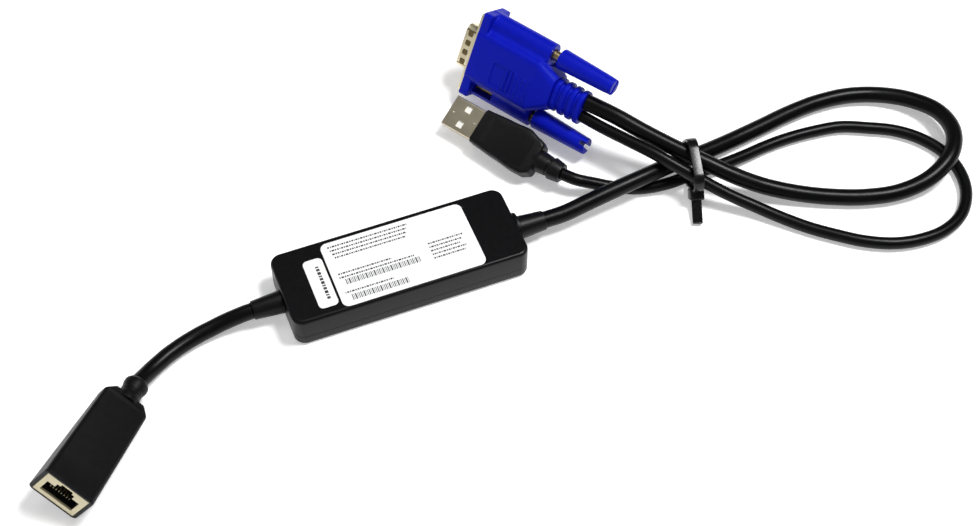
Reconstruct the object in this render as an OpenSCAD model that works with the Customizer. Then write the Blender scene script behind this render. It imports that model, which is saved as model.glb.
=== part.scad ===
// KVM dongle cable: a pod with its electronics, a short lead to a network
// socket, and a long lead that splits to a video plug and a USB plug.
// Origin: centre of the pod's underside. +X runs along the pod to the long
// lead, +Z is up. All lengths are in millimetres, all angles in degrees.

/* [Pod] */
// Length of the pod
pod_l = 84; // [80:1:92]
// Width of the pod
pod_w = 30.6; // [29:0.2:34]
// Height of the pod
pod_h = 12.6; // [12.4:0.1:15]
// Thickness of the pod's side walls
pod_wall = 1.8; // [1.4:0.1:2.2]
// Thickness of the pod's top and floor
pod_floor = 1.6; // [1.2:0.1:1.8]
// Radius of the pod's four upright corners
pod_corner_r = 4; // [3:0.25:6]
// Radius of the pod's long edges
pod_edge_r = 1.2; // [0.6:0.1:1.6]
// Height of the joint line between the two shells
parting_z = 4.4; // [4:0.1:5]
// Height of both cables above the ground where they enter the pod
cable_z = 6.5; // [6.3:0.1:6.7]

/* [Labels] */
// Distance of the large label from the long lead's end of the pod
label_end_margin = 15.45; // [6:0.05:30]
// Distance of the large label from each long side of the pod
label_side_margin = 1.6; // [1.4:0.1:6]
// Distance of the small label from the short lead's end of the pod
tag_end_margin = 9.9; // [4:0.1:14]
// Gap between both labels
label_gap = 0.85; // [0.5:0.05:4]
// Length of the small label
tag_l = 6.8; // [4:0.2:7.5]
// Distance of the small label from each long side of the pod
tag_side_margin = 5.1; // [1.4:0.1:8]
// Thickness of both labels
label_t = 0.2; // [0.1:0.05:0.4]
// Corner radius of both labels
label_r = 2.4; // [0.5:0.1:3]

/* [Circuit board] */
// Gap between each end of the board and the pod's end wall
board_end_gap = 5.2; // [4:0.1:7]
// Gap between each side of the board and the pod's side wall
board_side_gap = 1; // [0.5:0.1:2.5]
// Thickness of the circuit board
board_t = 1.6; // [1:0.2:1.6]
// Height of the board's underside above the ground
board_z = 3.2; // [2.8:0.1:3.4]
// Distance of the posts from the board's ends
post_end_margin = 8; // [7:0.5:11]
// Distance of the posts from the board's sides
post_side_margin = 3.3; // [2.6:0.1:3.7]
// Radius of the posts
post_r = 2; // [1.7:0.1:2.2]
// Radius of the locating pegs on the posts
peg_r = 1; // [0.8:0.1:1.2]

/* [Cables] */
// Diameter of the long cable
main_d = 6; // [5:0.1:6.2]
// Diameter of the USB cable
usb_d = 4.4; // [3.6:0.1:4.6]
// Diameter of the short cable
pigtail_d = 5.6; // [5:0.1:6]
// Length of the strain relief on the short cable at the pod
pigtail_relief_l = 10.5; // [9:0.5:12]
// Length of the strain relief on the long cable at the pod
main_relief_l = 11; // [9:0.5:13]

/* [Network socket] */
// Length of the socket housing
coupler_l = 41; // [38:0.5:44]
// Width of the housing at its mouth
coupler_w = 18.2; // [17.8:0.1:20]
// Height of the housing at its mouth
coupler_h = 16.4; // [16:0.1:18]
// Width of the housing at its rear
coupler_rear_w = 16.6; // [14:0.2:17]
// Height of the housing at its rear
coupler_rear_h = 7.2; // [6:0.2:9]
// Width of the socket frame
jack_w = 15.3; // [15:0.1:15.8]
// Height of the socket frame
jack_h = 13.5; // [13.3:0.1:13.8]
// Width of the opening for the plug
jack_mouth_w = 11.9; // [11.8:0.05:12.1]
// Height of the opening for the plug
jack_mouth_h = 6.9; // [6.8:0.05:7.1]
// Depth of the opening for the plug
jack_depth = 12.5; // [11.5:0.1:13]

/* [Video plug] */
// Distance between the two screws
screw_gap = 24.99; // [24.9:0.01:25.1]
// Width of the hood's flange
hood_w = 32.8; // [32:0.1:34]
// Height of the hood's flange
hood_h = 13.4; // [13:0.1:14]
// Thickness of the hood's flange
hood_flange_t = 3.5; // [2.5:0.1:4]
// Width of the hood's raised middle
hood_body_w = 20; // [19.6:0.1:20.2]
// Height of the hood's raised middle
hood_body_h = 14; // [13.6:0.1:14.4]
// Length of the hood up to its strain relief
hood_body_l = 34.4; // [33:0.2:36]
// Length of the hood's screw ears
ear_l = 28.5; // [28:0.1:29.5]
// Radius of the screw ears
ear_r = 4.1; // [4:0.05:4.3]
// Width of the metal plate
plate_w = 30.8; // [30:0.1:31.4]
// Height of the metal plate
plate_h = 12.5; // [12:0.1:12.8]
// Thickness of each metal plate
plate_t = 0.9; // [0.6:0.05:1]
// Width of the D-shaped shell
dshell_w = 16.92; // [16.8:0.02:17]
// Height of the D-shaped shell
dshell_h = 8.36; // [8.2:0.02:8.5]
// How far the D-shaped shell stands out of the plate
dshell_l = 5.2; // [4.8:0.1:5.8]
// Radius of the contact pins
vga_pin_r = 0.38; // [0.35:0.01:0.42]

/* [Thumbscrews] */
// Length of the knobs
knob_l = 22.8; // [20:0.2:24]
// Radius of a knob at its front
knob_r = 3.9; // [3.6:0.05:4.1]
// Radius of a knob at its rear
knob_rear_r = 3.1; // [2.8:0.05:3.4]
// Radius of the screw thread
screw_r = 1.42; // [1.38:0.01:1.45]
// Radius of the screw's plain shoulder behind the clip
shoulder_r = 1.9; // [1.7:0.05:1.95]
// Smallest gap between a knob and its ear
knob_gap_min = 0.3; // [0.2:0.05:0.5]
// Gap between the far knob and its ear as it lies
far_gap = 3.2; // [0.8:0.1:4.6]
// Gap between the near knob and its ear as it lies
near_gap = 1.6; // [0.8:0.1:4.6]

/* [USB plug] */
// Width of the metal shell
usb_shell_w = 12; // [11.9:0.05:12.1]
// Height of the metal shell
usb_shell_h = 4.5; // [4.4:0.05:4.6]
// Thickness of the shell's sheet metal
usb_shell_t = 0.3; // [0.25:0.05:0.35]
// Length of metal shell outside the grip
usb_shell_l = 13.1; // [12:0.1:14]
// Length of the moulded grip
grip_l = 26.3; // [25:0.1:28]
// Width of the grip at its front
grip_front_w = 13.4; // [13.2:0.1:14]
// Greatest width of the grip
grip_w = 16.2; // [15:0.1:17]
// Height of the grip
grip_h = 8; // [7.6:0.1:8.2]
// Length of the strain relief behind the grip
usb_relief_l = 10; // [8:0.2:12]

/* [Cable tie] */
// Width of the tie's band
tie_w = 3.6; // [2.5:0.1:4.8]
// Thickness of the tie's band
tie_t = 1; // [0.8:0.1:1.1]
// Length of the tie's free tail
tie_tail_l = 9; // [5:0.5:9.5]

/* [Hidden] */
$fn = 48;

// Overrun of a cut past the surface that it opens
cut = 0.5;
// Play between two moulded pieces that fit into each other
play = 0.1;

// Pod shells: lip along the joint line, and how the posts meet
lip_t = 0.8;
lip_h = 1.1;
peg_over_board = 0.6;
post_bore_r = peg_r + 2 * play;
main_label_y = -0.5;
small_label_y = -1.8;

// Strain reliefs in the pod's end walls: a flange inside, a neck in the wall
relief_flange_r = 4.3;
relief_flange_t = 1.5;
relief_neck_r = 3.6;
pigtail_relief_root_r = 4.1;
main_relief_root_r = 4.2;
main_collar_r = 5.7;
main_collar_t = 1.3;
relief_lip = 0.45;

// Headers and conductors inside the pod
header_l = 4;
header_w = 11;
header_h = 3.4;
wire_r = 0.5;
wire_pitch = 1.6;
wires = 5;

// Chips and other parts on the board. Each is placed lengthwise from the board's
// middle; the cans and the crystal keep their distance from its long sides
chip_w = 10;
chip_h = 1.4;
chip_pos = [-9, 0];
small_chip_l = 8.7;
small_chip_w = 3.9;
small_chip_x = 12;
small_chip_from_crystal = 5;
lead_l = 1;
lead_w = 0.4;
lead_t = 0.25;
lead_pitch = 1.27;
lead_z = 0.5;
can_r = 2;
can_h = 4.4;
can_foot_w = 4.3;
can_foot_t = 0.7;
can_x = [3, 9, 15];
can_side_margin = 5.5;
crystal_l = 10.2;
crystal_w = 3.8;
crystal_h = 3;
crystal_x = 8;
crystal_side_margin = 3.5;

// Routes of the cables: points chosen by hand along each centre line.
// Each route starts and ends at a strain relief, whose place is added.
pigtail_way = [[-92.5, -11.2, 5.2], [-90, -9.2, 4.5], [-87, -7.2, 4],
    [-84, -5.4, 3.7], [-81, -3.9, 3.4], [-77.5, -2.5, 3.3],
    [-74, -1.4, 3.3], [-70.5, -0.6, 3.5], [-67, -0.1, 3.8],
    [-64, 0.2, 4.3], [-61, 0.3, 4.9], [-58, 0.2, 5.6], [-55, 0.1, 6.2]];
main_way = [[61, 0, 6.7], [70, 1, 7.4], [79, 2, 8.1], [88, 3, 8.5],
    [97, 4.5, 8.1], [105, 6.5, 6.6], [113, 8, 5.2], [122, 9.5, 4.1],
    [133, 11.5, 3.2], [145, 13.5, 3], [157, 15.5, 3], [169, 16.5, 3],
    [181, 15.5, 3], [192, 11.5, 3.3], [201, 4.5, 4.4], [206.5, -5.5, 6.4],
    [206, -17, 8], [199.5, -26.5, 7.9], [189, -31.5, 5.6], [177, -32, 3.5],
    [165, -29.5, 3], [153.5, -25, 3], [142.5, -19.5, 3.6],
    [132, -13.5, 5.4], [123, -7.5, 8.3], [114.5, 0, 11.2], [106, 8.5, 13.6],
    [98, 17, 16.1], [90.5, 25.5, 18.7]];
usb_way = [[85.5, 25, 15.1], [91.5, 16, 15.3], [97.5, 8, 14.8],
    [104, 0.5, 12.6], [111, -6.5, 9.5], [118, -13, 6.4], [125.5, -19.5, 4],
    [132.5, -26.5, 2.7], [139.5, -33.5, 2.2], [147, -40, 2.2],
    [155, -46, 2.2], [164, -50.5, 2.2], [173.5, -52.5, 2.2],
    [183.5, -52, 2.2], [192.5, -48, 2.2], [199, -40.5, 2.2],
    [202, -31.5, 2.2], [201.5, -21.5, 2.2], [197, -12.5, 2.2],
    [190, -5.5, 2.2], [181, -0.5, 2.2], [172, 3.5, 2.2], [162, 5, 2.2],
    [152, 5.5, 2.2], [142.5, 5, 2.2], [132.5, 3.5, 2.6],
    [122.5, 2.2, 3.4], [112.5, 1.5, 4.3], [102.5, 1.5, 3.2],
    [92.5, 3.5, 2.2], [83, 7, 3.2], [76, 10, 5.1], [70.5, 12.4, 6.8]];
cable_sides = 12;

// Network socket: where it lies and how it is turned
coupler_place = [-127.7, -48.5, 12.1];
coupler_yaw = 47;
coupler_dip = 7;
coupler_roll = 33.5;
coupler_corner_r = 1.8;
coupler_edge_r = 1.5;
coupler_shoulder_w = 9.6;
coupler_taper_l = 3.6;
coupler_neck_l = 2.5;
coupler_neck_r = 3.6;
coupler_ring_l = 3;
coupler_ring_r = 4.15;
coupler_relief_l = 7.4;
coupler_end_r = 3.1;
jack_frame_t = 1.5;
jack_body_w = 14.4;
jack_body_h = 11.4;
jack_body_l = 14.5;
jack_mouth_floor = 4.6;
tab_wide_w = 6.4;
tab_wide_h = 2.2;
tab_narrow_w = 4.2;
tab_narrow_h = 1.4;
tab_narrow_depth = 3;
carrier_t = 1.4;
contact_w = 0.4;
contact_t = 0.3;
contact_pitch = 1.02;
contacts = 8;
contact_start = 2.4;
contact_bend = 3.2;
contact_rise = 3;

// Video plug: where it lies and how it is turned
vga_place = [57.87, 73.18, 17.65];
vga_yaw = -58.59;
vga_roll = 60.11;
hood_corner_r = 0.8;
hood_body_r = 2.2;
hood_taper_x = 27.5;
hood_rear_w = 13.4;
hood_rear_h = 10.8;
hood_rear_r = 4;
hood_end_t = 0.4;
hood_recess_t = 0.3;
hood_panel_l = 9.5;
hood_panel_w = 8.6;
hood_panel_r = 1;
hood_panel_x = 10.3;
hood_panel_y = -2.6;
rib_count = 6;
rib_pitch = 1.9;
rib_l = 8;
rib_t = 0.9;
rib_h = 0.35;
rib_x = 15.9;
window_x = 3.7;
window_l = 5.5;
window_w = 3.5;
vga_relief_r = 3.5;
vga_relief_step = 0.9;
vga_relief_offset = 2.1;
vga_relief_l = 12.2;
vga_rings = 4;
vga_ring_l = 2;
main_exit_y = 2.6;
usb_exit_y = -3;
dshell_t = 0.4;
dshell_r = 2.6;
dshell_slope = 10;
dimple_r = 0.7;
dimple_t = 0.2;
dimple_pitch = 4.2;
dimples = 4;
dimple_x = 3.4;
cup_w = 19;
cup_h = 10.6;
cup_l = 4.2;
cup_t = 0.4;
insulator_front = 0.5;
pin_pitch = 2.29;
pin_row_pitch = 1.98;
pin_out = 4.6;
pin_tail = 3;
pin_rows = 3;
pin_row_count = 5;
core_l = 17;
core_w = 16.6;
core_h = 9.4;
core_r = 1;

// Thumbscrews: bore, clip chamber and rear lip of the ears, and the hollow in
// the hood's sides that the knobs run in
plate_hole_play = 0.18;
knob_play = 0.4;
ear_bore_r = 1.6;
chamber_r = 2.7;
chamber_l = 6;
ear_lip_l = 1;
ear_lip_r = 2.2;
clip_t = 0.8;
clip_r = 2.55;
clip_hole_r = 1.25;
clip_slot_w = 1.4;
neck_r = 1.2;
clip_play = 0.25;
knob_hold = 8;
knob_slot_w = 1;
knob_slot_t = 1.2;
knob_edge = 0.5;
screw_out = 4.5;
tip_l = 0.5;
tip_r = 1;

// USB plug: where it lies and how it is turned
usb_place = [40.59, 58.07, 7.32];
usb_yaw = -58.11;
usb_roll = 28.16;
usb_shell_r = 0.6;
usb_shell_in = 3.6;
usb_window = 2.5;
usb_window_x = 6.6;
usb_window_y = 3.08;
usb_dot_r = 0.35;
usb_dot_x = [2, 11.4];
tongue_t = 1.8;
tongue_back = 1;
tongue_gap = 0.05;
usb_contact_l = 8;
usb_contact_w = 1.2;
usb_contact_t = 0.15;
usb_contact_y = [-3.5, -1, 1, 3.5];
usb_core_l = 14;
usb_core_w = 10.4;
usb_core_h = 5.2;
grip_r = 1.5;
grip_rear_h = 7.2;
grip_collar_l = 3.2;
grip_panel_t = 0.35;
grip_panel_rim = 1.7;
grip_waist_w = 15;
grip_waist_share = 0.42;
grip_widest_share = 0.69;
grip_far_end_w = 5.6;
grip_near_bulge_w = 8;
grip_near_end_w = 6.4;
usb_relief_r = 4.1;
usb_relief_mid_r = 3.7;
usb_relief_groove_r = 3.2;
usb_relief_ring_r = 4.2;
usb_relief_end_r = 3.5;
usb_relief_groove_l = 0.9;

// Cable tie: where it goes round the cables, and its four inner corners,
// each given as place along the band's plane, height, and radius
tie_place = [110.2, 0];
tie_turn = -13;
tie_corners = [[8.2, 5.8, 4.7], [4.1, 12.5, 4.7], [-4.9, 10.2, 4],
    [1.3, 4.2, 3.1]];
tie_head_l = 5;
tie_head_w = 5.2;
tie_head_h = 4.2;
tie_head_at = [-7.1, 3.8];
tie_head_lean = -44;
tie_tail_dip = 13;
tie_tail_turn = -8;

// Places that follow from the sizes above
inner_l = pod_l - 2 * pod_wall;
inner_w = pod_w - 2 * pod_wall;
inner_h = pod_h - 2 * pod_floor;
inner_r = pod_corner_r - pod_wall;
board_l = inner_l - 2 * board_end_gap;
board_w = inner_w - 2 * board_side_gap;
board_top = board_z + board_t;
post_x = board_l / 2 - post_end_margin;
post_y = board_w / 2 - post_side_margin;
header_x = board_l / 2 - header_l / 2;
crystal_y = crystal_side_margin - board_w / 2;
tag_w = pod_w - 2 * tag_side_margin;
tag_x = tag_end_margin + tag_l / 2 - pod_l / 2;
label_w = pod_w - 2 * label_side_margin;
label_l = pod_l - tag_end_margin - tag_l - label_gap - label_end_margin;
label_x = pod_l / 2 - label_end_margin - label_l / 2;
ear_y = screw_gap / 2;
travel = chamber_l - clip_t - 2 * clip_play;
clip_x0 = ear_l - ear_lip_l - chamber_l + clip_play;
pigtail_exit = [-pod_l / 2 - pigtail_relief_l, 0, cable_z];
main_exit = [pod_l / 2 + main_relief_l, 0, cable_z];
coupler_end = coupler_l + coupler_relief_l;
hood_end = hood_body_l + vga_relief_l;
grip_end = usb_shell_l + grip_l;
usb_end = grip_end + usb_relief_l;

// Turns a point about one axis, and moves a plug's point into the part
function turn_x(p, a) = [p.x, p.y * cos(a) - p.z * sin(a), p.y * sin(a) + p.z * cos(a)];
function turn_y(p, a) = [p.x * cos(a) + p.z * sin(a), p.y, p.z * cos(a) - p.x * sin(a)];
function turn_z(p, a) = [p.x * cos(a) - p.y * sin(a), p.x * sin(a) + p.y * cos(a), p.z];
function in_coupler(p) =
    coupler_place + turn_z(turn_y(turn_x(p, coupler_roll), coupler_dip), coupler_yaw);
function in_vga(p) = vga_place + turn_z(turn_x(p, vga_roll), vga_yaw);
function in_usb(p) = usb_place + turn_z(turn_x(p, usb_roll), usb_yaw);

pigtail_route = concat([in_coupler([coupler_end, 0, 0])], pigtail_way, [pigtail_exit]);
main_route = concat([main_exit], main_way, [in_vga([hood_end, main_exit_y, 0])]);
usb_route = concat([in_vga([hood_end, usb_exit_y, 0])], usb_way, [in_usb([usb_end, 0, 0])]);

// Shared shapes

// Turns a flat outline so that it runs along +X: its x becomes Y, its y becomes Z
module along_x(l) {
    rotate([90, 0, 90]) linear_extrude(l) children();
}

// Round body along +X from an outline of [radius, place] pairs
module lathe_x(outline) {
    rotate([90, 0, 90]) rotate_extrude() polygon(outline);
}

// Rod along +X
module rod_x(l, r) {
    rotate([90, 0, 90]) cylinder(h = l, r = r);
}

// Flat rectangle with round corners, centred
module round_rect(l, w, r) {
    square([l - 2 * r, w], center = true);
    square([l, w - 2 * r], center = true);
    for (x = [-1, 1], y = [-1, 1])
        translate([x * (l / 2 - r), y * (w / 2 - r)]) circle(r);
}

// Block with round upright corners and round edges, standing on z = 0
module round_block(l, w, h, corner_r, edge_r) {
    intersection() {
        linear_extrude(h) round_rect(l, w, corner_r);
        translate([-l / 2, 0, h / 2]) along_x(l) round_rect(w, h, edge_r);
        translate([0, w / 2, h / 2]) rotate([90, 0, 0]) linear_extrude(w) round_rect(l, h, edge_r);
    }
}

// Cable swept along a route, with its rings square to the bisector of each bend
function unit(v) = v / norm(v);
function heading(p, i) =
    i == 0 ? unit(p[1] - p[0])
    : i == len(p) - 1 ? unit(p[i] - p[i - 1])
    : unit(unit(p[i + 1] - p[i]) + unit(p[i] - p[i - 1]));
module cable(route, d, sides) {
    n = len(route);
    points = [for (i = [0 : n - 1])
        let (t = heading(route, i), s = unit(cross(t, [0, 0, 1])), u = cross(s, t))
        for (k = [0 : sides - 1])
            route[i] + d / 2 * (cos(360 * k / sides) * s + sin(360 * k / sides) * u)];
    skin = [for (i = [0 : n - 2], k = [0 : sides - 1])
        let (a = i * sides + k, b = i * sides + (k + 1) % sides)
        each [[a, b, b + sides], [a, b + sides, a + sides]]];
    first = [for (k = [sides - 1 : -1 : 0]) k];
    last = [for (k = [0 : sides - 1]) (n - 1) * sides + k];
    polyhedron(points, concat(skin, [first], [last]));
}

// Places of the plugs and of the socket
module at_coupler() {
    translate(coupler_place) rotate([0, 0, coupler_yaw]) rotate([0, coupler_dip, 0])
        rotate([coupler_roll, 0, 0]) children();
}
module at_vga() {
    translate(vga_place) rotate([0, 0, vga_yaw]) rotate([vga_roll, 0, 0]) children();
}
module at_usb() {
    translate(usb_place) rotate([0, 0, usb_yaw]) rotate([usb_roll, 0, 0]) children();
}

// The pod

module pod_outer() {
    round_block(pod_l, pod_w, pod_h, pod_corner_r, pod_edge_r);
}

module pod_cavity() {
    translate([0, 0, pod_floor]) linear_extrude(inner_h) round_rect(inner_l, inner_w, inner_r);
}

// Solid ring that stands up from the joint line, grown outward by a play
module pod_lip(grow) {
    translate([0, 0, parting_z]) linear_extrude(lip_h + grow) difference() {
        round_rect(inner_l + 2 * (lip_t + grow), inner_w + 2 * (lip_t + grow), inner_r + lip_t + grow);
        round_rect(inner_l, inner_w, inner_r);
    }
}

// Holes in both end walls for the necks of the strain reliefs
module pod_neck_holes() {
    translate([-pod_l / 2 - cut, 0, cable_z]) rod_x(pod_l + 2 * cut, relief_neck_r + play);
}

module posts() {
    for (x = [-1, 1], y = [-1, 1]) translate([x * post_x, y * post_y, 0]) children();
}

module pod_bottom_shell() {
    color("#151517") {
        difference() {
            union() {
                intersection() {
                    pod_outer();
                    translate([-pod_l / 2, -pod_w / 2, 0]) cube([pod_l, pod_w, parting_z]);
                }
                pod_lip(0);
            }
            pod_cavity();
            pod_neck_holes();
        }
        posts() translate([0, 0, pod_floor]) {
            cylinder(h = board_z - pod_floor, r = post_r);
            cylinder(h = board_top + peg_over_board - pod_floor, r = peg_r);
        }
    }
}

module pod_top_shell() {
    color("#151517") {
        difference() {
            intersection() {
                pod_outer();
                translate([-pod_l / 2, -pod_w / 2, parting_z]) cube([pod_l, pod_w, pod_h - parting_z]);
            }
            pod_cavity();
            pod_lip(play);
            pod_neck_holes();
        }
        posts() translate([0, 0, board_top]) difference() {
            cylinder(h = pod_h - pod_floor - board_top, r = post_r);
            translate([0, 0, -cut]) cylinder(h = peg_over_board + cut + play, r = post_bore_r);
        }
    }
}

module circuit_board() {
    color("#1c5a34") translate([0, 0, board_z]) difference() {
        translate([-board_l / 2, -board_w / 2, 0]) cube([board_l, board_w, board_t]);
        posts() translate([0, 0, -cut]) cylinder(h = board_t + 2 * cut, r = peg_r + play);
    }
}

// Flat chip with leads on its two long sides
module chip(l, w) {
    leads = floor((l - lead_w) / lead_pitch);
    translate([-l / 2, -w / 2, lead_t]) cube([l, w, chip_h - lead_t]);
    for (i = [0 : leads - 1], s = [-1, 1])
        translate([(i - (leads - 1) / 2) * lead_pitch - lead_w / 2, s * (w + lead_l) / 2 - lead_l / 2, 0])
            cube([lead_w, lead_l, lead_z]);
}

module control_chips() {
    color("#202022") translate([0, 0, board_top]) {
        translate(chip_pos) chip(chip_w, chip_w);
        translate([small_chip_x, crystal_y + small_chip_from_crystal, 0]) chip(small_chip_l, small_chip_w);
    }
}

module capacitors() {
    color("#b8babd") for (x = can_x) translate([x, board_w / 2 - can_side_margin, board_top]) {
        translate([-can_foot_w / 2, -can_foot_w / 2, 0]) cube([can_foot_w, can_foot_w, can_foot_t]);
        cylinder(h = can_h, r = can_r);
    }
}

module crystal() {
    color("#c9c9cc") translate([crystal_x, crystal_y, board_top])
        linear_extrude(crystal_h) round_rect(crystal_l, crystal_w, crystal_w / 2 - play);
}

module header(side) {
    color("#ece8da") translate([side * header_x - header_l / 2, -header_w / 2, board_top])
        cube([header_l, header_w, header_h]);
}
module pigtail_header() { header(-1); }
module main_header() { header(1); }

// Conductors from a strain relief's inner face to the header
module conductors(side) {
    reach = pod_l / 2 - pod_wall - relief_flange_t - board_l / 2;
    hues = ["#b02020", "#208038", "#2040b0", "#e8e8e8", "#282828"];
    start = side > 0 ? board_l / 2 : -board_l / 2 - reach;
    for (i = [0 : wires - 1])
        color(hues[i]) translate([start, (i - (wires - 1) / 2) * wire_pitch, cable_z]) rod_x(reach, wire_r);
}
module pigtail_wires() { conductors(-1); }
module main_wires() { conductors(1); }

module main_label() {
    color("#f2f2f0") translate([label_x, main_label_y, pod_h])
        linear_extrude(label_t) round_rect(label_l, label_w, label_r);
}
module small_label() {
    color("#f2f2f0") translate([tag_x, small_label_y, pod_h])
        linear_extrude(label_t) round_rect(tag_l, tag_w, min(label_r, tag_l / 4));
}

// Strain relief through an end wall, its outer end pointing along +X
module pod_relief(outer) {
    back = -pod_wall - relief_flange_t;
    color("#19191b") lathe_x(concat([[0, back], [relief_flange_r, back],
        [relief_flange_r, -pod_wall - play / 2], [relief_neck_r, -pod_wall - play / 2],
        [relief_neck_r, play / 2]], outer));
}
module pigtail_pod_relief() {
    tip_r = pigtail_d / 2 + relief_lip;
    translate([-pod_l / 2, 0, cable_z]) rotate([0, 0, 180])
        pod_relief([[pigtail_relief_root_r, play / 2], [tip_r, pigtail_relief_l], [0, pigtail_relief_l]]);
}
module main_pod_relief() {
    tip_r = main_d / 2 + relief_lip;
    translate([pod_l / 2, 0, cable_z])
        pod_relief([[main_collar_r, play / 2], [main_collar_r, main_collar_t],
            [main_relief_root_r, main_collar_t + play], [tip_r, main_relief_l], [0, main_relief_l]]);
}

// The cables

module pigtail_cable() { color("#101012") cable(pigtail_route, pigtail_d, cable_sides); }
module main_cable() { color("#101012") cable(main_route, main_d, cable_sides); }
module usb_cable() { color("#101012") cable(usb_route, usb_d, cable_sides); }

// The network socket

module coupler_shell() {
    rear_w = coupler_rear_w / 2 - coupler_edge_r;
    rear_h = coupler_rear_h / 2 - coupler_edge_r;
    shoulder_x = coupler_l - coupler_taper_l;
    color("#121214") at_coupler() {
        difference() {
            hull() {
                along_x(coupler_edge_r) round_rect(coupler_w, coupler_h, coupler_corner_r);
                for (y = [-1, 1], z = [-1, 1]) {
                    translate([shoulder_x, y * rear_w, z * rear_h]) sphere(coupler_edge_r, $fn = 24);
                    translate([coupler_l - coupler_edge_r, y * coupler_shoulder_w / 2, z * rear_h])
                        sphere(coupler_edge_r, $fn = 24);
                }
            }
            translate([-cut, 0, 0]) along_x(jack_frame_t + play + cut)
                square([jack_w + 2 * play, jack_h + 2 * play], center = true);
            along_x(jack_body_l + carrier_t)
                square([jack_body_w + 2 * play, jack_body_h + 2 * play], center = true);
        }
        translate([coupler_l, 0, 0]) lathe_x([[0, -coupler_edge_r], [coupler_end_r, -coupler_edge_r],
            [coupler_ring_r, -coupler_edge_r], [coupler_neck_r, coupler_neck_l],
            [coupler_ring_r, coupler_relief_l - coupler_ring_l],
            [coupler_ring_r, coupler_relief_l - coupler_neck_l + play],
            [coupler_end_r, coupler_relief_l], [0, coupler_relief_l]]);
    }
}

// Outline of the mouth: the plug's opening and the steps for its tab
module jack_mouth(with_narrow) {
    top = jack_mouth_h - jack_mouth_floor;
    translate([-jack_mouth_w / 2, -jack_mouth_floor]) square([jack_mouth_w, jack_mouth_h]);
    translate([-tab_wide_w / 2, 0]) square([tab_wide_w, top + tab_wide_h]);
    if (with_narrow) translate([-tab_narrow_w / 2, 0]) square([tab_narrow_w, top + tab_wide_h + tab_narrow_h]);
}

module jack_housing() {
    color("#d9cfa6") at_coupler() difference() {
        union() {
            along_x(jack_frame_t) square([jack_w, jack_h], center = true);
            along_x(jack_body_l) square([jack_body_w, jack_body_h], center = true);
        }
        translate([-cut, 0, 0]) along_x(jack_depth + cut) jack_mouth(false);
        translate([-cut, 0, 0]) along_x(jack_frame_t + cut) jack_mouth(true);
    }
}

// Rear plate that holds the contacts, behind the socket's body
module jack_carrier() {
    color("#26262a") at_coupler() translate([jack_body_l, 0, 0])
        along_x(carrier_t) square([jack_body_w, jack_body_h], center = true);
}

// Spring contacts that rise from the floor of the mouth to its rear wall
module jack_contacts() {
    color("#d8b34a") at_coupler() for (i = [0 : contacts - 1])
        translate([0, (i - (contacts - 1) / 2) * contact_pitch + contact_w / 2, -jack_mouth_floor])
            rotate([90, 0, 0]) linear_extrude(contact_w) polygon([
                [contact_start, 0], [contact_bend, 0], [jack_depth, contact_rise - contact_t],
                [jack_depth, contact_rise], [contact_bend, contact_t], [contact_start, contact_t]]);
}

// The video plug

// D-shaped outline, wide side up, with round corners
module d_outline(w, h, r) {
    lean = (h - 2 * r) * tan(dshell_slope);
    shift = r * (1 / cos(dshell_slope) - 1) + lean;
    for_corner = [[w / 2 - r, h / 2 - r, -dshell_slope, 90],
        [-w / 2 + r, h / 2 - r, 90, 180 + dshell_slope],
        [-w / 2 + r + shift, -h / 2 + r, 180 + dshell_slope, 270],
        [w / 2 - r - shift, -h / 2 + r, 270, 360 - dshell_slope]];
    polygon([for (c = for_corner, t = [0 : 0.2 : 1])
        let (a = c[2] + t * (c[3] - c[2])) [c.x + r * cos(a), c.y + r * sin(a)]]);
}

// Oval outline of the hood's strain relief
module relief_oval(r) {
    square([2 * vga_relief_offset, 2 * r], center = true);
    for (s = [-1, 1]) translate([s * vga_relief_offset, 0]) circle(r);
}

// Screw ear: a round channel tied to the hood's middle
module ear(side) {
    along_x(ear_l) {
        translate([side * ear_y, 0]) circle(ear_r);
        translate([side * ear_y / 2, 0]) square([ear_y, 2 * ear_r], center = true);
    }
}

// Everything that the screw and its clip run in
module ear_cuts(side) {
    translate([-cut, side * ear_y, 0]) {
        rod_x(ear_l + cut, ear_bore_r);
        translate([ear_l - ear_lip_l - chamber_l + cut, 0, 0]) rod_x(chamber_l, chamber_r);
        translate([ear_l - ear_lip_l, 0, 0]) rod_x(ear_lip_l + 2 * cut, ear_lip_r);
        translate([ear_l + cut, 0, 0]) rod_x(hood_end - ear_l, knob_r + knob_play);
    }
    translate([window_x, side * ear_y - window_w / 2, side > 0 ? -ear_r - cut : 0])
        cube([window_l, window_w, ear_r + cut]);
}

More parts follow.
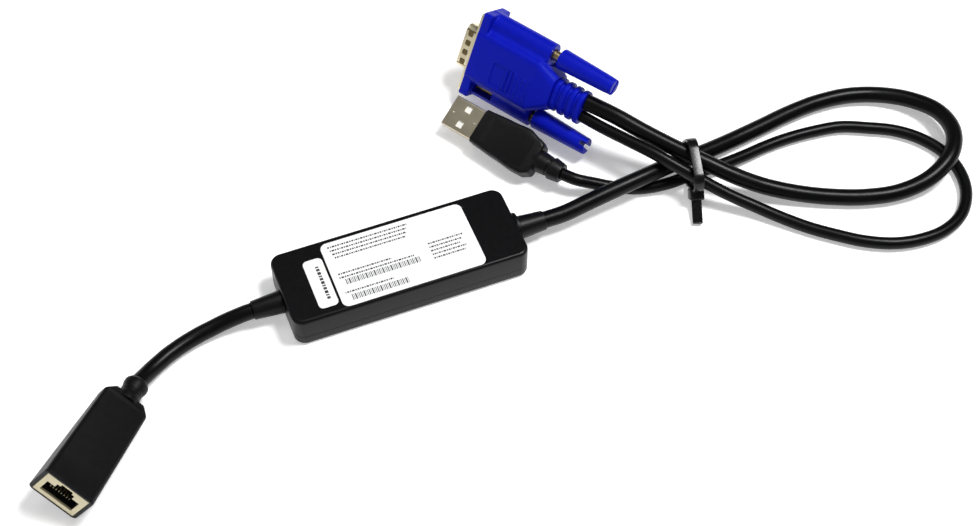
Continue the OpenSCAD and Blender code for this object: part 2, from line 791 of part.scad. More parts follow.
module vga_hood() {
    top = hood_body_h / 2;
    color("#1428c8") at_vga() difference() {
        union() {
            along_x(hood_flange_t) round_rect(hood_w, hood_h, hood_corner_r);
            ear(1);
            ear(-1);
            along_x(hood_taper_x) round_rect(hood_body_w, hood_body_h, hood_body_r);
            hull() {
                translate([hood_taper_x - hood_end_t, 0, 0])
                    along_x(hood_end_t) round_rect(hood_body_w, hood_body_h, hood_body_r, $fn = 32);
                translate([hood_body_l - hood_end_t, 0, 0])
                    along_x(hood_end_t) round_rect(hood_rear_w, hood_rear_h, hood_rear_r, $fn = 32);
            }
            along_x(hood_end) relief_oval(vga_relief_r);
            for (i = [0 : vga_rings - 1])
                translate([hood_end - vga_ring_l - i * (vga_relief_l - vga_ring_l) / (vga_rings - 1), 0, 0])
                    along_x(vga_ring_l) relief_oval(vga_relief_r + vga_relief_step);
            for (i = [0 : rib_count - 1])
                translate([rib_x + i * rib_pitch, hood_panel_y - rib_l / 2, top - rib_h])
                    cube([rib_t, rib_l, 2 * rib_h]);
        }
        ear_cuts(1);
        ear_cuts(-1);
        translate([hood_panel_x, hood_panel_y, top - hood_recess_t])
            linear_extrude(hood_recess_t + cut) round_rect(hood_panel_l, hood_panel_w, hood_panel_r);
        translate([-cut, 0, 0]) along_x(plate_t + cut)
            square([plate_w + 2 * play, plate_h + 2 * play], center = true);
        along_x(plate_t + cup_l) round_rect(cup_w + 2 * play, cup_h + 2 * play, core_r + play);
        along_x(plate_t + cup_l + core_l) round_rect(core_w + 2 * play, core_h + 2 * play, core_r + play);
    }
}

// Holes for both screws in a metal plate
module plate_holes() {
    for (s = [-1, 1]) translate([-cut, s * ear_y, 0]) rod_x(plate_t + 2 * cut, screw_r + plate_hole_play);
}

module vga_front_shell() {
    color("#cfc7a4") at_vga() difference() {
        union() {
            translate([-plate_t, 0, 0]) along_x(plate_t) round_rect(plate_w, plate_h, hood_corner_r);
            translate([-plate_t - dshell_l, 0, 0]) along_x(dshell_l) d_outline(dshell_w, dshell_h, dshell_r);
        }
        translate([-plate_t - dshell_l - cut, 0, 0]) along_x(dshell_l + plate_t + 2 * cut)
            d_outline(dshell_w - 2 * dshell_t, dshell_h - 2 * dshell_t, dshell_r - dshell_t);
        translate([-plate_t, 0, 0]) plate_holes();
        for (i = [0 : dimples - 1], s = [-1, 1])
            translate([-plate_t - dimple_x, (i - (dimples - 1) / 2) * dimple_pitch, s * (dshell_h / 2 - dimple_t)])
                rotate([s > 0 ? 0 : 180, 0, 0]) cylinder(h = dimple_t + cut, r = dimple_r);
    }
}

module vga_rear_shell() {
    color("#cfc7a4") at_vga() difference() {
        union() {
            along_x(plate_t) round_rect(plate_w, plate_h, hood_corner_r);
            translate([plate_t, 0, 0]) along_x(cup_l) round_rect(cup_w, cup_h, core_r);
        }
        translate([-cut, 0, 0]) along_x(plate_t + cup_l + 2 * cut)
            round_rect(cup_w - 2 * cup_t, cup_h - 2 * cup_t, core_r - cup_t);
        plate_holes();
    }
}

// Calls its children at the place of every pin
module pin_places() {
    for (row = [0 : pin_rows - 1], i = [0 : pin_row_count - 1])
        translate([0, (i - (pin_row_count - 1) / 2) * pin_pitch + (row == 1 ? -1 : 1) * pin_pitch / 4,
            (row - (pin_rows - 1) / 2) * pin_row_pitch]) children();
}

module vga_insulator() {
    color("#2a2a2e") at_vga() difference() {
        union() {
            translate([-insulator_front, 0, 0]) along_x(insulator_front)
                d_outline(dshell_w - 2 * dshell_t - 2 * play, dshell_h - 2 * dshell_t - 2 * play,
                    dshell_r - dshell_t - play);
            along_x(plate_t + cup_l) round_rect(cup_w - 2 * cup_t - 2 * play, cup_h - 2 * cup_t - 2 * play, cup_t);
        }
        pin_places() translate([-insulator_front - cut, 0, 0])
            rod_x(insulator_front + plate_t + cup_l + 2 * cut, vga_pin_r);
    }
}

module vga_pins() {
    whole = insulator_front + pin_out + plate_t + cup_l + pin_tail;
    color("#d8b34a") at_vga() pin_places() translate([-insulator_front - pin_out, 0, 0])
        lathe_x([[0, 0], [vga_pin_r / 2, 0], [vga_pin_r, vga_pin_r], [vga_pin_r, whole], [0, whole]]);
}

// Block moulded round the soldered ends, inside the hood
module vga_inner_mould() {
    color("#e4e2da") at_vga() translate([plate_t + cup_l, 0, 0]) difference() {
        along_x(core_l) round_rect(core_w, core_h, core_r);
        pin_places() translate([-cut, 0, 0]) rod_x(pin_tail + cut + play, vga_pin_r);
    }
}

// Knob with a screwdriver slot in its rear end, around the end of the screw
module knob(side, gap) {
    color("#1428c8") at_vga() translate([ear_l + gap, side * ear_y, 0]) difference() {
        lathe_x([[0, 0], [knob_r - knob_edge, 0], [knob_r, knob_edge],
            [knob_rear_r, knob_l - knob_edge], [knob_rear_r - knob_edge, knob_l], [0, knob_l]]);
        translate([-cut, 0, 0]) rod_x(knob_hold + cut, shoulder_r);
        translate([knob_l - knob_slot_t, -knob_r, -knob_slot_w / 2])
            cube([knob_slot_t + cut, 2 * knob_r, knob_slot_w]);
    }
}
module far_knob() { knob(1, far_gap); }
module near_knob() { knob(-1, near_gap); }

// Screw with a thread, a neck for the clip and a shoulder held in the knob
module screw(side, gap) {
    clip_at = clip_x0 - knob_gap_min - ear_l;
    tip = -ear_l - knob_gap_min - screw_out;
    color("#9c8450") at_vga() translate([ear_l + gap, side * ear_y, 0])
        lathe_x([[0, tip], [tip_r, tip], [screw_r, tip + tip_l], [screw_r, clip_at - play],
            [neck_r, clip_at - play], [neck_r, clip_at + clip_t + play],
            [shoulder_r, clip_at + clip_t + play], [shoulder_r, knob_hold], [0, knob_hold]]);
}
module far_screw() { screw(1, far_gap); }
module near_screw() { screw(-1, near_gap); }

// Spring clip on the screw's neck, which keeps the screw in its ear
module clip(side, gap) {
    color("#b9bbbf") at_vga() translate([clip_x0 + gap - knob_gap_min, side * ear_y, 0]) difference() {
        rod_x(clip_t, clip_r);
        translate([-cut, 0, 0]) rod_x(clip_t + 2 * cut, clip_hole_r);
        translate([-cut, -clip_slot_w / 2, 0]) cube([clip_t + 2 * cut, clip_slot_w, clip_r + cut]);
    }
}
module far_clip() { clip(1, far_gap); }
module near_clip() { clip(-1, near_gap); }

// The USB plug

// Corners of the grip's plan on one level, as [place along the plug, sideways]
function grip_corners(inset) = let (r = grip_r + inset) [
    [usb_shell_l + grip_l * grip_waist_share, grip_waist_w / 2 - r],
    [usb_shell_l + grip_l * grip_widest_share, grip_w / 2 - r],
    [grip_end - r, grip_far_end_w - r],
    [grip_end - r, r - grip_near_end_w],
    [(usb_shell_l + grip_l * grip_widest_share + grip_end) / 2 - r / 2, r - grip_near_bulge_w],
    [usb_shell_l + grip_l * grip_widest_share, r - grip_w / 2],
    [usb_shell_l + grip_l * grip_waist_share, r - grip_waist_w / 2]];

// Shallow panel on a broad side of the grip, inset from its rim
module grip_panel() {
    front = usb_shell_l + grip_collar_l;
    half = grip_front_w / 2 - grip_panel_rim;
    linear_extrude(grip_panel_t + cut) hull() {
        for (p = grip_corners(grip_panel_rim - grip_r / 2)) translate(p) circle(grip_r / 2, $fn = 24);
        for (s = [-1, 1]) translate([front + grip_r, s * (half - grip_r / 2)]) circle(grip_r / 2, $fn = 24);
    }
}

module usb_overmould() {
    rise = grip_h / 2 - grip_r;
    rear_rise = grip_rear_h / 2 - grip_r;
    color("#121214") at_usb() difference() {
        hull() {
            translate([usb_shell_l, 0, 0]) along_x(grip_r) round_rect(grip_front_w, grip_h, grip_r, $fn = 32);
            for (p = grip_corners(0), s = [-1, 1])
                translate([p.x, p.y, s * (p.x > grip_end - 2 * grip_r ? rear_rise : rise)])
                    sphere(grip_r, $fn = 24);
        }
        translate([usb_shell_l - cut, 0, 0]) along_x(usb_shell_in + cut)
            square([usb_shell_w + 2 * play, usb_shell_h + 2 * play], center = true);
        translate([usb_shell_l, 0, 0]) along_x(usb_shell_in + usb_core_l)
            square([usb_core_w + 2 * play, usb_shell_h - 2 * usb_shell_t], center = true);
        translate([usb_shell_l + usb_shell_in, 0, 0]) along_x(usb_core_l)
            square([usb_core_w + 2 * play, usb_core_h + 2 * play], center = true);
        translate([0, 0, grip_h / 2 - grip_panel_t]) grip_panel();
        mirror([0, 0, 1]) translate([0, 0, grip_h / 2 - grip_panel_t]) grip_panel();
    }
}

module usb_inner_mould() {
    color("#e4e2da") at_usb() translate([usb_shell_l + usb_shell_in, 0, 0])
        along_x(usb_core_l) square([usb_core_w, usb_core_h], center = true);
}

module usb_relief() {
    mid = usb_relief_l / 2 - usb_relief_groove_l / 2;
    ring = mid + usb_relief_groove_l;
    color("#121214") at_usb() translate([grip_end, 0, 0])
        lathe_x([[0, 0], [usb_relief_r - relief_lip, 0], [usb_relief_r, relief_lip], [usb_relief_mid_r, mid],
            [usb_relief_groove_r, mid], [usb_relief_groove_r, ring], [usb_relief_ring_r, ring],
            [usb_relief_end_r, usb_relief_l], [0, usb_relief_l]]);
}

// Folded sheet-metal shell, open at the front, with two latch windows a side
module usb_shell() {
    whole = usb_shell_l + usb_shell_in;
    color("#8d8672") at_usb() difference() {
        along_x(whole) round_rect(usb_shell_w, usb_shell_h, usb_shell_r);
        translate([-cut, 0, 0]) along_x(whole + 2 * cut)
            round_rect(usb_shell_w - 2 * usb_shell_t, usb_shell_h - 2 * usb_shell_t, usb_shell_r - usb_shell_t);
        for (s = [-1, 1]) translate([usb_window_x, s * usb_window_y, 0])
            cube([usb_window, usb_window, usb_shell_h + 2 * cut], center = true);
        for (x = usb_dot_x) translate([x, 0, 0]) cylinder(h = usb_shell_h / 2 + cut, r = usb_dot_r);
    }
}

module usb_tongue() {
    inner_w = usb_shell_w - 2 * usb_shell_t - 2 * tongue_gap;
    top = usb_shell_h / 2 - usb_shell_t - tongue_gap;
    whole = usb_shell_l + usb_shell_in - tongue_back;
    color("#eeeeea") at_usb() {
        translate([tongue_back, -inner_w / 2, top - tongue_t]) cube([whole, inner_w, tongue_t]);
        translate([usb_shell_l, -inner_w / 2, -top]) cube([usb_shell_in, inner_w, 2 * top]);
    }
}

// Contact strips on the tongue's face inside the shell
module usb_contacts() {
    face = usb_shell_h / 2 - usb_shell_t - tongue_gap - tongue_t;
    color("#d8b34a") at_usb() for (y = usb_contact_y)
        translate([usb_shell_l - usb_contact_l, y - usb_contact_w / 2, face - usb_contact_t])
            cube([usb_contact_l, usb_contact_w, usb_contact_t]);
}

// The cable tie: a band round all four strands, its head and its tail

module tie_loop(grow) {
    hull() for (c = tie_corners) translate([c.x, c.y]) circle(c.z + grow, $fn = 32);
}

module cable_tie() {
    color("#161618") translate([tie_place.x, tie_place.y, 0]) rotate([0, 0, tie_turn]) {
        translate([-tie_w / 2, 0, 0]) along_x(tie_w) difference() {
            tie_loop(tie_t);
            tie_loop(0);
        }
        translate([0, tie_head_at.x, tie_head_at.y]) {
            rotate([tie_head_lean, 0, 0]) cube([tie_head_w, tie_head_l, tie_head_h], center = true);
            rotate([tie_tail_dip, 0, tie_tail_turn])
                translate([-tie_w / 2, -tie_head_l / 2 - tie_tail_l, -tie_t / 2])
                    cube([tie_w, tie_head_l / 2 + tie_tail_l, tie_t]);
        }
    }
}

pod_bottom_shell();
pod_top_shell();
circuit_board();
control_chips();
capacitors();
crystal();
pigtail_header();
main_header();
pigtail_wires();
main_wires();
main_label();
small_label();
pigtail_pod_relief();
main_pod_relief();
pigtail_cable();
main_cable();
usb_cable();
coupler_shell();
jack_housing();
jack_carrier();
jack_contacts();
vga_hood();
vga_front_shell();
vga_rear_shell();
vga_insulator();
vga_pins();
vga_inner_mould();
far_knob();
near_knob();
far_screw();
near_screw();
far_clip();
near_clip();
usb_overmould();
usb_inner_mould();
usb_relief();
usb_shell();
usb_tongue();
usb_contacts();
cable_tie();
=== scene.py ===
import math

import bmesh
import bpy
from mathutils import Matrix, Vector


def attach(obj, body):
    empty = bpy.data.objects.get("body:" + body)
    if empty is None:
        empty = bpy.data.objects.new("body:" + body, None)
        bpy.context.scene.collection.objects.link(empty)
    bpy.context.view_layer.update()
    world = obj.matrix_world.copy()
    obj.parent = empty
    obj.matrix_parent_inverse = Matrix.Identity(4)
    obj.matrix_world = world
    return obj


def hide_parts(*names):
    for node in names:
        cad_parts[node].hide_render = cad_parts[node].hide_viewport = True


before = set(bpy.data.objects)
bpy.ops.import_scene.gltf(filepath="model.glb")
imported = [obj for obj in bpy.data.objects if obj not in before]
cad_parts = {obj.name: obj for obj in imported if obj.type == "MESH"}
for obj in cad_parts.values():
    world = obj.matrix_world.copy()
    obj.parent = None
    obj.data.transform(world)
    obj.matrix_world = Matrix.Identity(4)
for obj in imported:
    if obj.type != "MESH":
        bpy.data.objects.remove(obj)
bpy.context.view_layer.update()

# The camera. The part was photographed lying on a table, from above and from
# the side of the pod, with a longer lens than a phone has.
photo_width = 977
focal_length_pixels = 1707.13
sensor_width_mm = 36
camera_place = Vector((-0.0983, -0.3295, 0.4780))
camera_ahead = Vector((0.2171, 0.5473, -0.8083)).normalized()
camera_up = Vector((0.9312, -0.3645, 0.0033)).cross(camera_ahead).normalized()
camera_right = camera_ahead.cross(camera_up)

camera_data = bpy.data.cameras.new("camera")
camera_data.sensor_width = sensor_width_mm
camera_data.lens = focal_length_pixels / photo_width * sensor_width_mm
camera_data.clip_start = 0.01
camera_data.clip_end = 20
camera = bpy.data.objects.new("camera", camera_data)
camera_turn = Matrix((camera_right, camera_up, -camera_ahead)).transposed()
camera.matrix_world = Matrix.Translation(camera_place) @ camera_turn.to_4x4()
bpy.context.scene.collection.objects.link(camera)
bpy.context.scene.camera = camera
bpy.context.scene.view_settings.view_transform = "Standard"

# The table and the light. A white table under one soft lamp high to the right,
# a weaker one overhead and a broad one in front, in a room that is pale low down.
floor_half = 3
floor_drop = 0.0002
floor_white = 0.92
floor_lift = 0.3
wall_light = 0.35
ceiling_light = 0.03
left_glow = 0.22
wall_top = 0.05
ceiling_start = 0.35
glow_start = -0.45
glow_end = 0.1

floor_mesh = bpy.data.meshes.new("floor")
floor_corners = [(-1, -1), (1, -1), (1, 1), (-1, 1)]
floor_points = [(x * floor_half, y * floor_half, -floor_drop) for x, y in floor_corners]
floor_mesh.from_pydata(floor_points, [], [(0, 1, 2, 3)])
floor = bpy.data.objects.new("floor", floor_mesh)
bpy.context.scene.collection.objects.link(floor)


def seen_directly(tree):
    """Is 1 for what the eye meets straight on, in a reflection or through something clear."""
    path = tree.nodes.new("ShaderNodeLightPath")
    pair = tree.nodes.new("ShaderNodeMath")
    pair.operation = "MAXIMUM"
    tree.links.new(path.outputs["Is Camera Ray"], pair.inputs[0])
    tree.links.new(path.outputs["Is Glossy Ray"], pair.inputs[1])
    whole = tree.nodes.new("ShaderNodeMath")
    whole.operation = "MAXIMUM"
    tree.links.new(pair.outputs[0], whole.inputs[0])
    tree.links.new(path.outputs["Is Transmission Ray"], whole.inputs[1])
    return whole.outputs[0]


table_paint = bpy.data.materials.new("table_white")
table_paint.use_nodes = True
table_tree = table_paint.node_tree
table_shader = table_tree.nodes["Principled BSDF"]
table_shader.inputs["Base Color"].default_value = (floor_white, floor_white, floor_white, 1)
table_shader.inputs["Roughness"].default_value = 0.9
table_shader.inputs["Specular IOR Level"].default_value = 0
table_shader.inputs["Emission Color"].default_value = (1, 1, 1, 1)
table_glow = table_tree.nodes.new("ShaderNodeMath")
table_glow.operation = "MULTIPLY"
table_glow.inputs[1].default_value = floor_lift
table_tree.links.new(seen_directly(table_tree), table_glow.inputs[0])
table_tree.links.new(table_glow.outputs[0], table_shader.inputs["Emission Strength"])
floor_mesh.materials.append(table_paint)

room = bpy.data.worlds.new("room")
bpy.context.scene.world = room
room.use_nodes = True
room_tree = room.node_tree
room_light = room_tree.nodes["Background"]
room_way = room_tree.nodes.new("ShaderNodeTexCoord")
room_split = room_tree.nodes.new("ShaderNodeSeparateXYZ")
room_tree.links.new(room_way.outputs["Generated"], room_split.inputs[0])
room_fade = room_tree.nodes.new("ShaderNodeMapRange")
room_fade.inputs["From Min"].default_value = wall_top
room_fade.inputs["From Max"].default_value = ceiling_start
room_fade.inputs["To Min"].default_value = wall_light
room_fade.inputs["To Max"].default_value = ceiling_light
room_tree.links.new(room_split.outputs["Z"], room_fade.inputs["Value"])
room_side = room_tree.nodes.new("ShaderNodeMapRange")
room_side.inputs["From Min"].default_value = glow_start
room_side.inputs["From Max"].default_value = glow_end
room_side.inputs["To Min"].default_value = left_glow
room_side.inputs["To Max"].default_value = 0
room_tree.links.new(room_split.outputs["X"], room_side.inputs["Value"])
room_sum = room_tree.nodes.new("ShaderNodeMath")
room_tree.links.new(room_fade.outputs["Result"], room_sum.inputs[0])
room_tree.links.new(room_side.outputs["Result"], room_sum.inputs[1])
room_tree.links.new(room_sum.outputs[0], room_light.inputs["Strength"])
room_light.inputs["Color"].default_value = (1, 1, 1, 1)
room_white = room_tree.nodes.new("ShaderNodeBackground")
room_white.inputs["Color"].default_value = (1, 1, 1, 1)
room_eye = room_tree.nodes.new("ShaderNodeLightPath")
room_mix = room_tree.nodes.new("ShaderNodeMixShader")
room_tree.links.new(room_eye.outputs["Is Camera Ray"], room_mix.inputs["Fac"])
room_tree.links.new(room_light.outputs[0], room_mix.inputs[1])
room_tree.links.new(room_white.outputs[0], room_mix.inputs[2])
room_tree.links.new(room_mix.outputs[0], room_tree.nodes["World Output"].inputs["Surface"])


def softbox(name, place, aim, width, depth, watts, mirrored=True):
    """A flat lamp of that size at a place, turned to shine on its aim."""
    lamp = bpy.data.lights.new(name, "AREA")
    lamp.shape = "RECTANGLE"
    lamp.size = width
    lamp.size_y = depth
    lamp.energy = watts
    holder = bpy.data.objects.new(name, lamp)
    facing = (Vector(aim) - Vector(place)).to_track_quat("-Z", "Y")
    holder.matrix_world = Matrix.Translation(Vector(place)) @ facing.to_matrix().to_4x4()
    holder.visible_glossy = mirrored
    bpy.context.scene.collection.objects.link(holder)


table_middle = (0.04, 0, 0)
softbox("key_lamp", (0.47, -0.10, 1.02), table_middle, 0.3, 0.3, 13.0)
softbox("top_lamp", (-0.05, 0.26, 1.15), table_middle, 0.45, 0.45, 1.6)
softbox("front_lamp", (-0.60, -0.62, 0.55), table_middle, 1.0, 0.8, 3.4, mirrored=False)

# The pod's two shells. Black ABS mouldings with a soft gloss, pressed together
# along a joint line; each is a hollow tray with round corners and edges.
pod_length = 0.084
pod_width = 0.0306
pod_height = 0.0126
pod_wall = 0.0018
pod_floor = 0.0016
pod_corner = 0.004
pod_edge = 0.0012
pod_joint = 0.0044
pod_groove = 0.00006
cable_height = 0.0065
corner_steps = 8


def rounded(width, height, radius, steps=corner_steps):
    """Outline of a rectangle with round corners, as (across, up), anticlockwise."""
    outline = []
    for side, top, start in ((1, 1, 0), (-1, 1, 90), (-1, -1, 180), (1, -1, 270)):
        for k in range(steps + 1):
            turn = math.radians(start + 90 * k / steps)
            across = side * (width / 2 - radius) + radius * math.cos(turn)
            up = top * (height / 2 - radius) + radius * math.sin(turn)
            outline.append((across, up))
    return outline


def eased(points, ease, steps=5):
    """The same broken line with its corners rounded over that distance."""
    corners = [Vector(p) for p in points]
    line = [corners[0]]
    for before, corner, after in zip(corners, corners[1:], corners[2:]):
        back = (before - corner) / 2
        on = (after - corner) / 2
        start = corner + back * min(1, ease / max(back.length, 1e-9))
        end = corner + on * min(1, ease / max(on.length, 1e-9))
        for k in range(steps + 1):
            t = k / steps
            line.append(start * (1 - t) ** 2 + corner * 2 * t * (1 - t) + end * t ** 2)
    line.append(corners[-1])
    return line


def skin(shell, loops, closed=False, capped=True):
    """Walls between loops of equally many points, with a face over each end."""
    rings = [[shell.verts.new(p) for p in loop] for loop in loops]
    pairs = list(zip(rings, rings[1:]))
    if closed:
        pairs.append((rings[-1], rings[0]))
    for one, two in pairs:
        for k in range(len(one)):
            n = (k + 1) % len(one)
            shell.faces.new((one[k], one[n], two[n], two[k]))
    if capped and not closed:
        shell.faces.new(rings[0])
        shell.faces.new(rings[-1])
    return shell


def piece(name, shell, material, body="cable_set", place=None, sharp=40):
    """Makes the finished object, smooth except where two faces meet at a sharp angle."""
    if place is not None:
        shell.transform(place)
    bmesh.ops.recalc_face_normals(shell, faces=shell.faces)
    mesh = bpy.data.meshes.new(name)
    shell.to_mesh(mesh)
    shell.free()
    mesh.shade_smooth()
    mesh.set_sharp_from_angle(angle=math.radians(sharp))
    mesh.materials.append(material)
    thing = bpy.data.objects.new(name, mesh)
    bpy.context.scene.collection.objects.link(thing)
    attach(thing, body)
    return thing


def moulding(name, colour, gloss, grain, depth, metal=0.0, shine=0.5, patches=0.25, tint=(1, 1, 1)):
    """Surface with slow patches in its colour and gloss, and a fine grain in relief."""
    material = bpy.data.materials.new(name)
    material.use_nodes = True
    tree = material.node_tree
    shader = tree.nodes["Principled BSDF"]
    shader.inputs["Metallic"].default_value = metal
    shader.inputs["Specular IOR Level"].default_value = shine
    shader.inputs["Specular Tint"].default_value = (*tint, 1)
    place = tree.nodes.new("ShaderNodeTexCoord").outputs["Object"]
    patch = tree.nodes.new("ShaderNodeTexNoise")
    patch.inputs["Scale"].default_value = grain / 14
    patch.inputs["Detail"].default_value = 4
    tree.links.new(place, patch.inputs["Vector"])
    shade = tree.nodes.new("ShaderNodeMix")
    shade.data_type = "RGBA"
    shade.inputs["A"].default_value = (*[c * (1 - patches) for c in colour], 1)
    shade.inputs["B"].default_value = (*[min(1, c * (1 + patches)) for c in colour], 1)
    tree.links.new(patch.outputs["Fac"], shade.inputs["Factor"])
    tree.links.new(shade.outputs["Result"], shader.inputs["Base Color"])
    dull = tree.nodes.new("ShaderNodeMapRange")
    dull.inputs["From Min"].default_value = 0.3
    dull.inputs["From Max"].default_value = 0.7
    dull.inputs["To Min"].default_value = gloss * 0.92
    dull.inputs["To Max"].default_value = gloss * 1.1
    tree.links.new(patch.outputs["Fac"], dull.inputs["Value"])
    tree.links.new(dull.outputs["Result"], shader.inputs["Roughness"])
    fine = tree.nodes.new("ShaderNodeTexNoise")
    fine.inputs["Scale"].default_value = grain
    fine.inputs["Detail"].default_value = 2
    tree.links.new(place, fine.inputs["Vector"])
    relief = tree.nodes.new("ShaderNodeBump")
    relief.inputs["Distance"].default_value = depth
    tree.links.new(fine.outputs["Fac"], relief.inputs["Height"])
    tree.links.new(relief.outputs["Normal"], shader.inputs["Normal"])
    return material


def tray(levels):
    """A hollow shell from (inset, height) steps around the pod's outline."""
    loops = []
    for inset, height in levels:
        radius = max(pod_corner - inset, pod_wall / 4)
        outline = rounded(pod_length - 2 * inset, pod_width - 2 * inset, radius)
        loops.append([(x, y, height) for x, y in outline])
    return skin(bmesh.new(), loops)


def edge_levels(rise, face):
    """Steps of a round edge from the side wall to a flat face, on the side that rise says."""
    steps = [k * math.pi / 2 / corner_steps for k in range(corner_steps + 1)]
    return [(pod_edge * (1 - math.cos(a)), face - rise * pod_edge * (1 - math.sin(a))) for a in steps]


pod_black = moulding("pod_black", (0.003, 0.003, 0.0035), 0.32, 9000, 0.000004, shine=0.16)
top_levels = [(pod_wall, pod_height - pod_floor), (pod_wall, pod_joint), (pod_groove, pod_joint)]
top_levels += [(0, pod_joint + pod_groove)] + edge_levels(1, pod_height)
top_levels += [(pod_edge + pod_groove, pod_height)]
low_levels = [(pod_wall, pod_floor), (pod_wall, pod_joint), (pod_groove * 2, pod_joint)]
low_levels += [(pod_groove * 2, pod_joint - pod_groove), (0, pod_joint - 2 * pod_groove)]
low_levels += edge_levels(-1, 0)
low_levels += [(pod_edge + pod_groove, 0)]
pod_top = piece("pod_top", tray(top_levels), pod_black)
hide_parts("pod_top_shell")
pod_bottom = piece("pod_bottom", tray(low_levels), pod_black)
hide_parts("pod_bottom_shell")

# The electronics in the pod. A green board with two chips, three cans, a
# crystal and a header at each end, to which the cable's conductors are crimped.


def dress(material, *nodes):
    """Gives the model's own pieces their finish."""
    for node in nodes:
        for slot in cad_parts[node].material_slots:
            slot.material = material


board_green = moulding("board_green", (0.02, 0.12, 0.05), 0.4, 4000, 0.00001)
chip_black = moulding("chip_black", (0.02, 0.02, 0.022), 0.6, 12000, 0.00001)
tin_bright = moulding("tin_bright", (0.55, 0.55, 0.57), 0.25, 5000, 0.000005, metal=1.0, patches=0.1)
nylon_white = moulding("nylon_white", (0.8, 0.79, 0.74), 0.5, 5000, 0.00001, patches=0.06)
wire_red = moulding("wire_red", (0.35, 0.05, 0.04), 0.4, 5000, 0.00001)
dress(board_green, "circuit_board")
dress(chip_black, "control_chips")
dress(tin_bright, "capacitors", "crystal")
dress(nylon_white, "pigtail_header", "main_header")
dress(wire_red, "pigtail_wires", "main_wires")

# The two labels. White satin film with round corners. What was printed on them
# is left off, and plain ruled strokes and bars of black ink stand in its place.
label_size = (0.051, 0.0274)
label_middle = (0.00105, -0.0005)
tag_size = (0.0068, 0.0204)
tag_middle = (-0.0287, -0.0018)
film_thick = 0.0002
label_corner = 0.0024
tag_corner = 0.0017
ink_thick = 0.00001
film_white = moulding("film_white", (0.9, 0.9, 0.895), 0.36, 6000, 0.000002, patches=0.02)
ink_black = moulding("ink_black", (0.03, 0.03, 0.032), 0.5, 9000, 0.000002)


def film(size, middle, corner):
    """A thin sheet on the pod's lid, with its rim turned down a little."""
    levels = [(0, 0), (0, film_thick * 0.6), (film_thick * 0.5, film_thick), (film_thick * 2, film_thick)]
    loops = []
    for inset, height in levels:
        outline = rounded(size[0] - 2 * inset, size[1] - 2 * inset, corner - inset)
        loops.append([(middle[0] + x, middle[1] + y, pod_height + height) for x, y in outline])
    return skin(bmesh.new(), loops)


def stroke(shell, left, low, width, height):
    """One flat bar of ink on top of the film."""
    base = pod_height + film_thick
    corners = [(left, low), (left + width, low), (left + width, low + height), (left, low + height)]
    skin(shell, [[(x, y, base) for x, y in corners], [(x, y, base + ink_thick) for x, y in corners]])


def ruled_line(shell, left, low, width, height, lengths, gap, upright=False):
    """Strokes of repeating lengths along one line, until its width is used."""
    at = 0
    turn = 0
    while at < width:
        run = min(lengths[turn % len(lengths)], width - at)
        if upright:
            stroke(shell, low, left + at, height, run)
        else:
            stroke(shell, left + at, low, run, height)
        at += run + gap
        turn += 1


label_film = piece("main_label_film", film(label_size, label_middle, label_corner), film_white)
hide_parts("main_label")
tag_film = piece("small_label_film", film(tag_size, tag_middle, tag_corner), film_white)
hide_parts("small_label")

line_height = 0.0007
line_pitch = 0.0016
word_lengths = [0.0007, 0.0004, 0.0009, 0.0005, 0.0006, 0.0003]
word_gap = 0.00028
print_left = label_middle[0] - 0.0232
print_shell = bmesh.new()
for line in range(4):
    low = label_middle[1] + 0.0112 - line * line_pitch
    ruled_line(print_shell, print_left + 0.0004 * line, low, 0.0285 - 0.001 * line, line_height,
               word_lengths[line:] + word_lengths[:line], word_gap)
for line, width in ((0, 0.0190), (1, 0.0265), (5, 0.0170)):
    ruled_line(print_shell, print_left, label_middle[1] - 0.0006 - line * line_pitch, width, line_height,
               word_lengths[line:] + word_lengths[:line], word_gap)
for line in range(5):
    low = label_middle[1] + 0.0006 - line * line_pitch
    ruled_line(print_shell, print_left + 0.0325, low, 0.0125 - 0.001 * (line % 3), line_height,
               word_lengths[line:] + word_lengths[:line], word_gap)
bar_widths = [0.00034, 0.00018, 0.0005, 0.00018, 0.00026]
for low, width in ((-0.0052, 0.0265), (-0.0119, 0.0200)):
    ruled_line(print_shell, print_left + 0.0016, label_middle[1] + low, width, 0.0024, bar_widths, 0.0003)
ruled_line(print_shell, tag_middle[1] - 0.0072, tag_middle[0] + 0.0002, 0.0144, 0.0012,
           [0.0010, 0.0006, 0.0012], 0.0004, upright=True)
piece("label_print", print_shell, ink_black)

# The strain reliefs in the pod's end walls. Soft black rubber-like mouldings,
# tapered towards the cable and clipped behind the wall by a flange.
relief_flange = 0.0043
relief_neck = 0.0036
relief_behind = 0.0033
short_relief = 0.0105
long_relief = 0.011
pigtail_thick = 0.0056
main_thick = 0.006
relief_lip = 0.00045
turned_sides = 48


def turned(profile, sides=turned_sides):
    """A round body along X from (radius, place) points."""
    shell = bmesh.new()
    loops = []
    for radius, place in profile:
        angles = [2 * math.pi * k / sides for k in range(sides)]
        loops.append([(place, radius * math.cos(a), radius * math.sin(a)) for a in angles])
    return skin(shell, loops)


